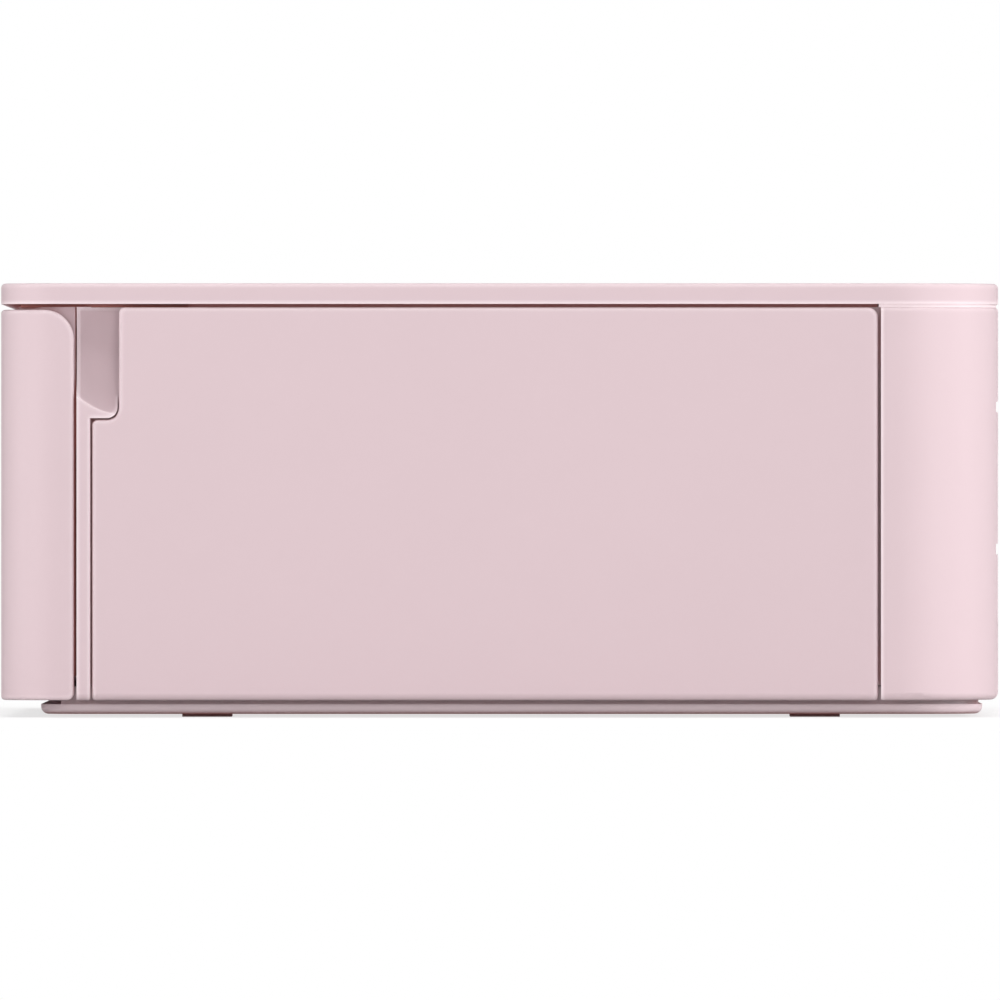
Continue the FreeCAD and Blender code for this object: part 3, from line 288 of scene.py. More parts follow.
@dataclass(frozen=True)
class SolderMaskBoard:
    """Glass-fibre board under green solder mask, with copper tracks that show as ridges."""

    name: str = "Solder mask on laminate"
    mask: str = "14502F"
    track: str = "2A7A48"
    track_pitch_mm: float = 2.1
    track_width: float = 0.03
    track_depth_mm: float = 0.035
    track_strength: float = 0.4
    field_tint: float = 0.06
    roughness: float = 0.28
    ior: float = 1.52

    def material(self) -> bpy.types.Material:
        """Make the finish: glossy green with lighter raised tracks.

        Returns:
            The material.
        """
        material, tree, places = new_tree(self.name)
        # The brick texture lays four rows to its unit
        unit = self.track_pitch_mm * 4 * MM
        tracks = add_node(tree, "TexBrick", {"Scale": 1 / unit, "Mortar Size": self.track_width,
                                             "Color1": BLACK, "Mortar": WHITE,
                                             "Color2": scaled(WHITE, self.field_tint)},
                          {"Vector": places})
        colour = add_node(tree, "MixRGB",
                          {"Color1": linear(self.mask), "Color2": linear(self.track)},
                          {"Fac": tracks.outputs["Color"]})
        bump = add_node(tree, "Bump", {"Strength": self.track_strength,
                                       "Distance": self.track_depth_mm * MM},
                        {"Height": tracks.outputs["Color"]})
        shader = add_node(tree, "BsdfPrincipled", {"Roughness": self.roughness, "IOR": self.ior},
                          {"Base Color": colour.outputs[0], "Normal": bump.outputs[0]})
        add_node(tree, "OutputMaterial", links={"Surface": shader.outputs[0]})
        return material


@dataclass(frozen=True)
class PolishedSheet:
    """Film or glazed ceramic: smooth, with the faintest waviness."""

    name: str
    colour: str
    roughness: float = 0.06
    roughness_spread: float = 0.05
    haze_mm: float = 0.8
    ior: float = 1.52
    ripple_mm: float = 14.0
    ripple_depth_mm: float = 0.02
    ripple_strength: float = 0.08
    lift: float = 1.12
    least_light: float = 0.002

    def material(self) -> bpy.types.Material:
        """Make the finish: deep gloss over one tone, with a slow ripple and dust-fine haze.

        Returns:
            The material.
        """
        material, tree, places = new_tree(self.name)
        tone = linear(self.colour)
        lighter = tuple(min(1.0, c * self.lift + self.least_light) for c in tone[:3]) + (1.0,)
        ripple = add_node(tree, "TexNoise", {"Scale": 1 / (self.ripple_mm * MM), "Detail": 1.0},
                          {"Vector": places})
        colour = add_node(tree, "MixRGB", {"Color1": tone, "Color2": lighter},
                          {"Fac": ripple.outputs["Fac"]})
        haze = add_node(tree, "TexNoise", {"Scale": 1 / (self.haze_mm * MM), "Detail": 4.0},
                        {"Vector": places})
        gloss = add_node(tree, "MapRange", {"To Min": self.roughness,
                                            "To Max": self.roughness + self.roughness_spread},
                         {"Value": haze.outputs["Fac"]})
        bump = add_node(tree, "Bump", {"Strength": self.ripple_strength,
                                       "Distance": self.ripple_depth_mm * MM},
                        {"Height": ripple.outputs["Fac"]})
        shader = add_node(tree, "BsdfPrincipled", {"IOR": self.ior},
                          {"Base Color": colour.outputs[0], "Roughness": gloss.outputs[0],
                           "Normal": bump.outputs[0]})
        add_node(tree, "OutputMaterial", links={"Surface": shader.outputs[0]})
        return material


@dataclass(frozen=True)
class PrintedGlass:
    """Float glass with a black print behind it that leaves a window for the display."""

    name: str = "Cover glass over black print"
    print_colour: str = "060607"
    window_colour: str = "18202B"
    middle_mm: Pair = (-21.0, 2.0)
    half_mm: Pair = (34.0, 23.0)
    roughness: float = 0.03
    roughness_spread: float = 0.05
    haze_mm: float = 0.8
    ior: float = 1.52
    coat: float = 0.6

    def material(self) -> bpy.types.Material:
        """Make the finish: mirror-smooth black, with a bluish window that shows at a slant.

        Returns:
            The material.
        """
        material, tree, places = new_tree(self.name)
        (across, along), (wide, deep) = self.middle_mm, self.half_mm
        # Places are scaled so that the window's edges lie at 1 from its middle
        centred = add_node(tree, "Mapping", {"Scale": (1 / (wide * MM), 1 / (deep * MM), 0.0),
                                             "Location": (-across / wide, -along / deep, 0.0)},
                           {"Vector": places})
        apart = add_node(tree, "VectorMath", {"operation": "ABSOLUTE"}, {0: centred.outputs[0]})
        sides = add_node(tree, "SeparateXYZ", links={0: apart.outputs[0]})
        furthest = add_node(tree, "Math", {"operation": "MAXIMUM"},
                            {0: sides.outputs[0], 1: sides.outputs[1]})
        inside = add_node(tree, "Math", {"operation": "LESS_THAN", 1: 1.0},
                          {0: furthest.outputs[0]})
        colour = add_node(tree, "MixRGB", {"Color1": linear(self.print_colour),
                                           "Color2": linear(self.window_colour)},
                          {"Fac": inside.outputs[0]})
        haze = add_node(tree, "TexNoise", {"Scale": 1 / (self.haze_mm * MM), "Detail": 4.0},
                        {"Vector": places})
        gloss = add_node(tree, "MapRange", {"To Min": self.roughness,
                                            "To Max": self.roughness + self.roughness_spread},
                         {"Value": haze.outputs["Fac"]})
        shader = add_node(tree, "BsdfPrincipled", {"IOR": self.ior, "Coat Weight": self.coat},
                          {"Base Color": colour.outputs[0], "Roughness": gloss.outputs[0]})
        add_node(tree, "OutputMaterial", links={"Surface": shader.outputs[0]})
        return material


# Finishes, each named for its material and how the surface was made
# Pale rose satin with painted highlights along its edges, and painted shade with a faint painted
# glow in its joints
BODY_ABS = MouldedPolymer("Moulded ABS, fine spark-eroded grain", "DBC5CA", roughness=0.4,
                          painted_shade="6E3732", painted_highlight="F8E8EC")
# The body's rose made lighter as painted light on the shaded plinth, flatter, without painted
# highlights on its edges, with painted shade and glow in its joints
PLINTH_ABS = MouldedPolymer("Moulded ABS, matt plinth", "EBD8DC", roughness=0.55, grain_mm=0.6,
                            painted_shade="6E3732")
# A darker copy of the body's rose as painted shade for the frame under the covers, with painted
# shade and glow in its joints
FRAME_ABS = MouldedPolymer("Moulded ABS, inner frame", "C6ADB2", roughness=0.5,
                           painted_shade="6E3732")
# Smooth and a little brighter than the lid round it
KEY_ABS = MouldedPolymer("Moulded ABS, polished keys", "E3D0D5", roughness=0.3,
                         grain_depth_mm=0.004)
# Flat grey lines that catch no light
KEY_INK = MouldedPolymer("Screen printed grey ink", "6C6166", roughness=0.6, grain_mm=0.2,
                         grain_depth_mm=0.002)
# Dull dark red-brown strip: painted shade in the joint under the lid
PAINTED_SHADE_STRIP = MouldedPolymer("Dark red-brown strip, painted shade", "A0655F", roughness=0.92, grain_mm=0.5,
                           grain_depth_mm=0.05)
# Soft grey without a highlight
FOOT_RUBBER = MouldedPolymer("Moulded rubber feet", "B9AFB2", roughness=0.8, grain_mm=0.8,
                             grain_depth_mm=0.03)
# Near black, with the dull bloom of ground rubber
ROLLER_RUBBER = MouldedPolymer("Ground roller rubber", "1D1D20", roughness=0.75, grain_mm=0.3,
                               grain_depth_mm=0.02)
# Satin black that keeps the inside quiet
BLACK_ABS = MouldedPolymer("Moulded ABS, black", "18181A", roughness=0.5)
# Waxy off-white teeth
ACETAL = MouldedPolymer("Moulded acetal gears", "DAD8CC", roughness=0.36, grain_depth_mm=0.004)
# Cream with a soft highlight
PLUG_NYLON = MouldedPolymer("Moulded nylon plugs", "E6E2D6", roughness=0.45)
# Dull black with a fine sandy face
CHIP_RESIN = MouldedPolymer("Epoxy chip resin", "17181B", roughness=0.55, grain_mm=0.15)
# Bright, with one long highlight along the shaft
GROUND_STEEL = WorkedMetal("Ground steel shaft", "B9BABD", roughness=0.24)
# Grey sheen with broad rolling lines from front to rear
ZINC_SHEET = WorkedMetal("Zinc plated sheet steel", "A9ACAE", roughness=0.38, line_mm=0.6,
                         along=Along.Y)
# Silky, with the lines of the die along the fins
EXTRUDED_ALLOY = WorkedMetal("Extruded aluminium", "B4B7BA", roughness=0.33, line_mm=0.35)
# A darker, even shine
MOTOR_STEEL = WorkedMetal("Drawn steel can", "8F9194", roughness=0.32)
# Soft silver, slightly clouded
TINNED_SHEET = WorkedMetal("Tinned steel sheet", "B4B6B8", line_mm=0.4)
# Light silver with upright draw lines
ALLOY_CAN = WorkedMetal("Drawn aluminium cans", "C0C2C4", roughness=0.25, along=Along.Z)
# Blue-black with a dim gleam
BLACK_STEEL = WorkedMetal("Blackened spring steel", "3A3A3D", roughness=0.4)
# Glossy green with raised tracks
BOARD = SolderMaskBoard()
# Black mirror with a bluish window
COVER_GLASS = PrintedGlass()
# Near black with a blurred reflection
PANEL_FILM = PolishedSheet("Display panel film", "14161A", roughness=0.18)
# Warm white with a wet shine
HEAD_CERAMIC = PolishedSheet("Glazed ceramic heater", "CFC6B4", roughness=0.12, ior=1.6)
# Amber with a sharp sheen on its bends
CABLE_FILM = PolishedSheet("Polyimide cable film", "A8621C", roughness=0.2, ior=1.7)
# Deep red gloss
DYE_FILM = PolishedSheet("Dyed polyester film", "7E1B33", roughness=0.1, ior=1.64)
Finish = MouldedPolymer | WorkedMetal | SolderMaskBoard | PolishedSheet | PrintedGlass


class Axis(Enum):
    """Axis that a turned body stands on, as its turn from Z, in degrees."""

    X = 90
    Z = 0


def block(low: Point, high: Point, radius: float) -> bmesh.types.BMesh:
    """Block with rounded edges.

    Args:
        low: Lowest corner, in millimetres.
        high: Highest corner, in millimetres.
        radius: Radius of its edges, or zero for sharp ones.

    Returns:
        The mesh.
    """
    mesh = bmesh.new()
    size = Vector(high) - Vector(low)
    middle = (Vector(high) + Vector(low)) / 2
    bmesh.ops.create_cube(mesh, size=1.0,
                          matrix=Matrix.Translation(middle) @ Matrix.Diagonal((*size, 1.0)))
    if radius > 0:
        bmesh.ops.bevel(mesh, geom=mesh.edges[:], offset=radius, segments=EDGE_STEPS,
                        profile=0.5, affect="EDGES")
    return mesh


def standing_block(middle: Pair, half: Pair, low: float, height: float,
                   radius: float) -> bmesh.types.BMesh:
    """Block that stands on a surface, round a middle in X and Y.

    Args:
        middle: Its middle in X and Y, in millimetres.
        half: Half its size in X and Y.
        low: The surface that it stands on.
        height: Its height.
        radius: Radius of its edges, or zero for sharp ones.

    Returns:
        The mesh.
    """
    (x, y), (wide, deep) = middle, half
    return block((x - wide, y - deep, low), (x + wide, y + deep, low + height), radius)


def turned(outline: Sequence[Pair], spot: Point, axis: Axis, count: int) -> bmesh.types.BMesh:
    """Body turned round an axis.

    Args:
        outline: Pairs of radius and height along the axis, in millimetres; a radius may be zero.
        spot: Where the axis starts.
        axis: The axis that it stands on.
        count: Faces round the axis.

    Returns:
        The mesh.
    """
    mesh = bmesh.new()
    rings = []
    for radius, height in outline:
        if radius == 0:
            rings.append([mesh.verts.new((0.0, 0.0, height))])
            continue
        angles = [math.tau * step / count for step in range(count)]
        rings.append([mesh.verts.new((radius * math.cos(angle), radius * math.sin(angle), height))
                      for angle in angles])
    for first, second in zip(rings, rings[1:]):
        for step in range(count):
            following = (step + 1) % count
            corners = [first[step % len(first)], first[following % len(first)],
                       second[following % len(second)], second[step % len(second)]]
            mesh.faces.new(list(dict.fromkeys(corners)))
    turn = Matrix.Rotation(math.radians(axis.value), 4, "Y")
    mesh.transform(Matrix.Translation(spot) @ turn)
    return mesh


def strip(points: Sequence[Pair], low: float, high: float,
          thickness: float) -> bmesh.types.BMesh:
    """Thin sheet that follows points in Y and Z and runs along X.

    Args:
        points: Pairs of Y and Z, in millimetres.
        low: Lowest X.
        high: Highest X.
        thickness: The sheet's thickness.

    Returns:
        The mesh.
    """
    mesh = bmesh.new()
    count = len(points)
    offsets = []
    for place in range(count):
        before = Vector(points[max(place - 1, 0)])
        after = Vector(points[min(place + 1, count - 1)])
        run = (after - before).normalized()
        offsets.append((-run.y * thickness / 2, run.x * thickness / 2))
    sides = list(zip(points, offsets))
    edge = [(y + dy, z + dz) for (y, z), (dy, dz) in sides]
    edge += [(y - dy, z - dz) for (y, z), (dy, dz) in reversed(sides)]
    left = [mesh.verts.new((low, y, z)) for y, z in edge]
    right = [mesh.verts.new((high, y, z)) for y, z in edge]
    total = len(edge)
    for place in range(total):
        following = (place + 1) % total
        mesh.faces.new((left[place], left[following], right[following], right[place]))
    for place in range(count - 1):
        for end in (left, right):
            mesh.faces.new((end[place], end[place + 1],
                            end[total - place - 2], end[total - place - 1]))
    return mesh


def stroke(points: Sequence[Pair], width: float, low: float,
           height: float) -> bmesh.types.BMesh:
    """Printed line on a flat key.

    Args:
        points: Pairs of X and Y, in millimetres.
        width: The line's width.
        low: The surface that it lies on.
        height: Its thickness.

    Returns:
        The mesh.
    """
    mesh = bmesh.new()
    for (x0, y0), (x1, y1) in zip(points, points[1:]):
        run = (Vector((x1, y1)) - Vector((x0, y0))).normalized()
        side = Vector((-run.y, run.x)) * width / 2
        run *= width / 2
        corners = [(x0 - run.x + side.x, y0 - run.y + side.y),
                   (x1 + run.x + side.x, y1 + run.y + side.y),
                   (x1 + run.x - side.x, y1 + run.y - side.y),
                   (x0 - run.x - side.x, y0 - run.y - side.y)]
        lower = [mesh.verts.new((x, y, low)) for x, y in corners]
        upper = [mesh.verts.new((x, y, low + height)) for x, y in corners]
        mesh.faces.new(upper)
        mesh.faces.new(lower[::-1])
        for step in range(4):
            following = (step + 1) % 4
            mesh.faces.new((lower[step], lower[following], upper[following], upper[step]))
    return mesh


def joined(meshes: Sequence[bmesh.types.BMesh]) -> bmesh.types.BMesh:
    """Put several meshes in one.

    Args:
        meshes: The meshes, which are used up.

    Returns:
        One mesh with them all.
    """
    whole = bmesh.new()
    for mesh in meshes:
        carrier = bpy.data.meshes.new("carrier")
        mesh.to_mesh(carrier)
        mesh.free()
        whole.from_mesh(carrier)
        bpy.data.meshes.remove(carrier)
    return whole


def arc(middle: Pair, radius: float, first: float, last: float, count: int = 20) -> list[Pair]:
    """Points on a circle's arc.

    Args:
        middle: The circle's middle.
        radius: Its radius.
        first: First angle, in degrees.
        last: Last angle, in degrees.
        count: Number of steps.

    Returns:
        The points.
    """
    angles = [math.radians(first + (last - first) * step / count) for step in range(count + 1)]
    return [(middle[0] + radius * math.cos(angle), middle[1] + radius * math.sin(angle))
            for angle in angles]


def arrow(turn: float, ring: float = 10.3, half: float = 1.3) -> list[Pair]:
    """Arrow head on the direction ring that points outward.

    Args:
        turn: Where it lies on the ring, in degrees.
        ring: Radius of its middle, in millimetres.
        half: Half its width.

    Returns:
        The points of its line.
    """
    spin = Matrix.Rotation(math.radians(turn), 2)
    corners = ((ring - half / 2, -half), (ring + half / 2, 0.0), (ring - half / 2, half))
    return [tuple(spin @ Vector(corner)) for corner in corners]


class Wardrobe:
    """Holds each finish's material, so that it is made once."""

    def __init__(self) -> None:
        """Start with no material made."""
        self.made: dict[str, bpy.types.Material] = {}

    def material(self, finish: Finish) -> bpy.types.Material:
        """Material of a finish.

        Args:
            finish: One of the finishes above.

        Returns:
            The material, made on first use.
        """
        if finish.name not in self.made:
            self.made[finish.name] = finish.material()
        return self.made[finish.name]


@dataclass
class Assembly:
    """Base of each sub-assembly: dresses frame nodes and adds pieces of its own."""

    frame: dict
    wardrobe: Wardrobe
    dressed: list[str] = field(default_factory=list)
    made: list[str] = field(default_factory=list)

    def dress(self, finish: Finish, *nodes: str) -> None:
        """Give frame nodes a finish.

        Args:
            finish: The finish.
            nodes: Names of frame nodes.
        """
        for name in nodes:
            mesh = self.frame["nodes"][name].data
            mesh.materials.clear()
            mesh.materials.append(self.wardrobe.material(finish))
            self.dressed.append(name)

    def add(self, name: str, shape: bmesh.types.BMesh, finish: Finish, body: str, slot: str,
            smooth: bool = True) -> None:
        """Turn a finished bmesh into a piece that rides on a body.

        Args:
            name: The piece's name.
            shape: Its mesh, in millimetres, in the frame's own place; it is used up.
            finish: Its finish.
            body: The body that it rides on.
            slot: The record's material slot that it belongs to; not used.
            smooth: Whether its blunt edges shade smoothly.
        """
        bmesh.ops.recalc_face_normals(shape, faces=shape.faces)
        bmesh.ops.scale(shape, vec=(MM, MM, MM), verts=shape.verts)
        mesh = bpy.data.meshes.new(name)
        shape.to_mesh(mesh)
        shape.free()
        mesh.materials.append(self.wardrobe.material(finish))
        piece = bpy.data.objects.new(name, mesh)
        bpy.context.scene.collection.objects.link(piece)
        if smooth:
            mesh.shade_smooth()
            mesh.set_sharp_from_angle(angle=SMOOTH_UP_TO)
        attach(piece, body)
        self.made.append(name)

    def report(self) -> None:
        """Log each piece that this assembly dressed or added."""
        for name in self.dressed:
            LOG.info("%s: dressed %s", type(self).__name__, name)
        for name in self.made:
            LOG.info("%s: added %s", type(self).__name__, name)


@dataclass
class Housing(Assembly):
    """Bottom case, shell, lid, front frame and feet, mouth guides, a painted shade strip and the
    lid's rib.
    """

    guide_side: float = 57.8
    guide_front: float = -56.0
    guide_rear: float = -20.0
    guide_low: float = 4.2
    guide_width: float = 1.4
    guide_height: float = 2.4
    guide_radius: float = 0.3
    shade_strip_side: float = 87.8
    shade_strip_front: float = -63.8
    shade_strip_rear: float = -41.5
    lid_gap_low: float = 54.6
    lid_gap_high: float = 55.07
    lid_gap_strip_width: float = 1.2
    shade_strip_radius: float = 0.05
    body_side: float = 91.1
    body_rear: float = 66.5
    rear_radius: float = 15.0
    joint_inset: float = 0.85
    joint_right_end: float = 50.4
    joint_left_end: float = -55.8

    def build(self) -> None:
        """Dress the outer moulded pieces, add the guides, a dark strip of painted shade and the rib
        that shuts the lid's joint.
        """
        self.dress(BODY_ABS, "main_shell", "top_lid")
        self.dress(PLINTH_ABS, "bottom_case")
        self.dress(FOOT_RUBBER, "rubber_feet")
        self.dress(FRAME_ABS, "front_frame")
        self.dress(GROUND_STEEL, "case_screws", "cover_hinge_pins", "door_hinge_pins")
        self.add("paper_guides", self.guides(), FRAME_ABS, "housing", "grey_plastic")
        self.add("lid_shade_strip", self.shade_strip(), PAINTED_SHADE_STRIP, "housing", "grey_plastic")
        self.add("lid_joint", self.joint(), BODY_ABS, "housing", "white_plastic")

    def guides(self) -> bmesh.types.BMesh:
        """Two rails that guide the paper cassette in the mouth.

        Returns:
            The mesh of both.
        """
        half, high = self.guide_width / 2, self.guide_low + self.guide_height
        return joined([block((middle - half, self.guide_front, self.guide_low),
                             (middle + half, self.guide_rear, high), self.guide_radius)
                       for middle in (-self.guide_side, self.guide_side)])

    def shade_strip(self) -> bmesh.types.BMesh:
        """Strip under the lid that keeps light out above the front frame; its dark red-brown is
        painted shade in the joint.

        Returns:
            The mesh of its front run and two side runs.
        """
        side, low, high, width = self.shade_strip_side, self.lid_gap_low, self.lid_gap_high, self.lid_gap_strip_width
        inner_front = self.shade_strip_front + width
        runs = [block((-side, self.shade_strip_front, low), (side, inner_front, high), self.shade_strip_radius)]
        runs += [block((left, inner_front, low), (right, self.shade_strip_rear, high), self.shade_strip_radius)
                 for left, right in ((-side, width - side), (side - width, side))]
        return joined(runs)

    def joint(self) -> bmesh.types.BMesh:
        """Rib that shuts the joint under the lid, where neither cover moves.

        Returns:
            The mesh, from the ink door round the rear to the front cover.
        """
        side, rear, radius = self.body_side, self.body_rear, self.rear_radius
        bend = radius - self.joint_inset
        path = [(side - self.joint_inset, self.joint_right_end)]
        path += arc((side - radius, rear - radius), bend, 0, 90)
        path += arc((radius - side, rear - radius), bend, 90, 180)
        path.append((self.joint_inset - side, self.joint_left_end))
        rib = strip(path, self.lid_gap_low, self.lid_gap_high, self.lid_gap_strip_width)
        rib.transform(UPRIGHT)
        return rib


@dataclass
class Doors(Assembly):
    """Front cover and ink door."""

    def build(self) -> None:
        """Dress the two hinged covers."""
        self.dress(BODY_ABS, "front_cover", "ink_door")


@dataclass(frozen=True)
class KeySymbol:
    """Symbol printed on a key.

    Its column counts from the middle one, its row is a place in Y, and its lines lie round the
    key's middle, all in millimetres.
    """

    name: str
    body: str
    column: int
    row: float
    lines: tuple[Sequence[Pair], ...]


UPPER_ROW, PAD_ROW, LOWER_ROW = 34.0, 2.0, -27.0
CENTRE: Pair = (0.0, 0.0)
SYMBOLS = (
    KeySymbol("power", "power_button_key", -1, UPPER_ROW,
              (arc(CENTRE, 1.7, 125, 415), ((0.0, 0.4), (0.0, 2.2)))),
    KeySymbol("back", "back_button_key", 0, UPPER_ROW,
              (arc(CENTRE, 1.6, -120, 120), ((-2.0, 0.2), (-0.8, 1.45), (-0.6, 2.6)))),
    KeySymbol("menu", "menu_button_key", 1, UPPER_ROW,
              tuple(((-1.8, step), (1.8, step)) for step in (-1.2, 0.0, 1.2))),
    KeySymbol("zoom_out", "zoom_out_button_key", -1, LOWER_ROW, (((-1.7, 0.0), (1.7, 0.0)),)),
    KeySymbol("print", "print_button_key", 0, LOWER_ROW,
              (((-1.1, 0.7), (-1.1, 2.0), (1.1, 2.0), (1.1, 0.7)),
               ((-2.1, 0.5), (2.1, 0.5), (2.1, -1.2), (-2.1, -1.2), (-2.1, 0.5)))),
    KeySymbol("zoom_in", "zoom_in_button_key", 1, LOWER_ROW,
              (((-1.7, 0.0), (1.7, 0.0)), ((0.0, -1.7), (0.0, 1.7)))),
    KeySymbol("middle", "ok_button_key", 0, PAD_ROW, (arc(CENTRE, 1.6, 0, 360),)),
    KeySymbol("arrows", "direction_ring_key", 0, PAD_ROW,
              tuple(arrow(turn) for turn in (0, 90, 180, 270))),
)


@dataclass
class KeyField(Assembly):
    """Keys with their printed symbols, their board and the display in the lid."""

    key_top: float = 57.7
    print_sink: float = 0.005
    print_height: float = 0.02
    print_width: float = 0.45
    middle_column: float = 58.0
    pitch: float = 15.0

    def build(self) -> None:
        """Dress the keys and the display, and print the symbols."""
        self.dress(KEY_ABS, "power_button", "back_button", "menu_button", "zoom_out_button",
                   "print_button", "zoom_in_button", "ok_button", "direction_ring")
        self.dress(COVER_GLASS, "display_glass")
        self.dress(PANEL_FILM, "display_panel")
        self.dress(BOARD, "key_board")
        for symbol in SYMBOLS:
            self.print_symbol(symbol)

    def print_symbol(self, symbol: KeySymbol) -> None:
        """Print one symbol on its key.

        Args:
            symbol: The symbol.
        """
        across = self.middle_column + symbol.column * self.pitch
        lines = [[(across + x, symbol.row + y) for x, y in line] for line in symbol.lines]
        printed = joined([stroke(line, self.print_width, self.key_top - self.print_sink,
                                 self.print_height) for line in lines])
        self.add(f"symbol_{symbol.name}", printed, KEY_INK, symbol.body, "grey_plastic",
                 smooth=False)


@dataclass
class PaperPath(Assembly):
    """Side plates, rollers, print head and its flat cable."""

    cable_points: tuple[Pair, ...] = ((13.945, 26.0), (13.945, 37.0), (13.945, 46.4),
                                      (13.7, 47.4), (13.7, 48.3), (14.2, 49.1), (21.0, 49.5),
                                      (29.5, 49.5))
    cable_thickness: float = 0.1
    cable_low: float = -30.0
    cable_high: float = -10.0
    plug_overhang: float = 1.5
    plug_front: float = 29.0
    plug_rear: float = 33.5
    plug_low: float = 48.4
    plug_high: float = 51.2
    plug_radius: float = 0.25

    def build(self) -> None:
        """Dress the plates, rollers and head, and lay the head's cable."""
        self.dress(ZINC_SHEET, "chassis_left_plate", "chassis_right_plate", "head_bracket")
        self.dress(ROLLER_RUBBER, "platen_roller", "pickup_roller")
        self.dress(GROUND_STEEL, "capstan_roller", "pinch_roller")
        self.dress(HEAD_CERAMIC, "thermal_head")
        self.dress(EXTRUDED_ALLOY, "heat_sink")
        cable = strip(self.cable_points, self.cable_low, self.cable_high, self.cable_thickness)
        self.add("head_cable", cable, CABLE_FILM, "print_head", "ribbon_film")
        plug = block((self.cable_low - self.plug_overhang, self.plug_front, self.plug_low),
                     (self.cable_high + self.plug_overhang, self.plug_rear, self.plug_high),
                     self.plug_radius)
        self.add("head_plug", plug, PLUG_NYLON, "print_head", "white_plastic")


@dataclass
class DriveTrain(Assembly):
    """Motor, bracket and gears, with the idler's retaining clip and the motor's bearing cap."""

    line_height: float = 19.0
    clip_left: float = -65.6
    clip_bore: float = 1.5
    clip_radius: float = 2.6
    clip_thickness: float = 0.4
    clip_faces: int = 24
    idler_along: float = 33.32
    motor_left: float = -83.0
    motor_along: float = 5.88
    cap_radius: float = 2.9
    cap_height: float = 0.8
    cap_chamfer: float = 0.3
    cap_faces: int = 32

    def build(self) -> None:
        """Dress the motor and its gears, and add the clip and the end cap."""
        self.dress(ACETAL, "platen_gear", "idler_gear", "capstan_gear")
        self.dress(GROUND_STEEL, "motor_pinion", "motor_shaft_pin")
        self.dress(MOTOR_STEEL, "drive_motor")
        self.dress(ZINC_SHEET, "motor_bracket")
        clip = turned(((self.clip_bore, 0.0), (self.clip_radius, 0.0),
                       (self.clip_radius, self.clip_thickness),
                       (self.clip_bore, self.clip_thickness)),
                      (self.clip_left, self.idler_along, self.line_height), Axis.X, self.clip_faces)
        self.add("idler_clip", clip, BLACK_STEEL, "housing", "steel")
        cap = turned(((0.0, 0.0), (self.cap_radius - self.cap_chamfer, 0.0),
                      (self.cap_radius, self.cap_chamfer), (self.cap_radius, self.cap_height),
                      (0.0, self.cap_height)),
                     (self.motor_left - self.cap_height, self.motor_along, self.line_height),
                     Axis.X, self.cap_faces)
        self.add("motor_bearing_cap", cap, GROUND_STEEL, "housing", "steel")


@dataclass
class InkCassette(Assembly):
    """Cassette case, its two spools and the film that runs between them."""

    film: tuple[Pair, ...] = ((0.2, 31.0), (13.8, 24.2), (22.2, 24.2), (29.6, 25.8),
                              (38.4, 33.1))
    film_half: float = 48.5
    film_thickness: float = 0.05

    def build(self) -> None:
        """Dress the cassette and stretch the film."""
        self.dress(BLACK_ABS, "ink_cassette_case")
        self.dress(DYE_FILM, "supply_spool", "takeup_spool")
        film = strip(self.film, -self.film_half, self.film_half, self.film_thickness)
        self.add("dye_film", film, DYE_FILM, "housing", "ribbon_film")


@dataclass(frozen=True)
class Chip:
    """Square chip with leads along two sides, in millimetres."""

    middle: Pair
    side: float
    height: float


@dataclass(frozen=True)
class Can:
    """Round capacitor, in millimetres."""

    middle: Pair
    radius: float
    height: float


@dataclass
class Electronics(Assembly):
    """Main board with its components, sockets and fan."""

    board_top: float = 8.6
    chips: tuple[Chip, ...] = (Chip((-75.0, -46.0), 10.0, 1.3), Chip((-68.0, -30.0), 6.0, 1.1),
                               Chip((-70.0, 36.0), 7.0, 1.2))
    chip_radius: float = 0.15
    lead_spaces: int = 10
    lead_reach: float = 0.4
    lead_half: Pair = (0.5, 0.15)
    lead_height: float = 0.3
    cans: tuple[Can, ...] = (Can((-83.0, 40.5), 2.6, 7.0), Can((-83.0, 34.6), 2.6, 7.0),
                             Can((-76.5, 45.0), 2.0, 5.5))
    can_chamfer: float = 0.3
    can_faces: int = 28
    plugs: tuple[Pair, ...] = ((-84.0, -48.0), (-66.0, -18.0))
    plug_half: Pair = (2.0, 3.0)
    plug_height: float = 4.0
    plug_radius: float = 0.25

    def build(self) -> None:
        """Dress the board, the sockets and the fan, and add the components."""
        self.dress(BOARD, "main_board")
        self.dress(TINNED_SHEET, "card_slot", "data_port")
        self.dress(BLACK_ABS, "power_socket", "fan_frame", "fan_wheel")
        top = self.board_top
        chips = [standing_block(chip.middle, (chip.side / 2, chip.side / 2), top, chip.height,
                                self.chip_radius) for chip in self.chips]
        self.add("board_chips", joined(chips), CHIP_RESIN, "housing", "dark_plastic")
        self.add("chip_leads", self.leads(), TINNED_SHEET, "housing", "steel", smooth=False)
        cans = [self.can(can) for can in self.cans]
        self.add("board_capacitors", joined(cans), ALLOY_CAN, "housing", "steel")
        plugs = [standing_block(middle, self.plug_half, top, self.plug_height, self.plug_radius)
                 for middle in self.plugs]
        self.add("board_plugs", joined(plugs), PLUG_NYLON, "housing", "white_plastic")

    def leads(self) -> bmesh.types.BMesh:
        """Flat leads along two sides of each chip.

        Returns:
            The mesh of them all.
        """
        legs = []
        half = self.lead_spaces // 2
        for chip in self.chips:
            x, y = chip.middle
            for step in range(1 - half, half):
                along = y + step * chip.side / self.lead_spaces
                legs += [standing_block((x + sign * (chip.side / 2 + self.lead_reach), along),
                                        self.lead_half, self.board_top, self.lead_height, 0.0)
                         for sign in (-1, 1)]
        return joined(legs)

    def can(self, can: Can) -> bmesh.types.BMesh:
        """Capacitor's can with a chamfered top.

        Args:
            can: Its place and size.

        Returns:
            The mesh.
        """
        radius, height, chamfer = can.radius, can.height, self.can_chamfer
        outline = ((0.0, 0.0), (radius, 0.0), (radius, height - chamfer),
                   (radius - chamfer, height), (0.0, height))
        return turned(outline, (*can.middle, self.board_top), Axis.Z, self.can_faces)


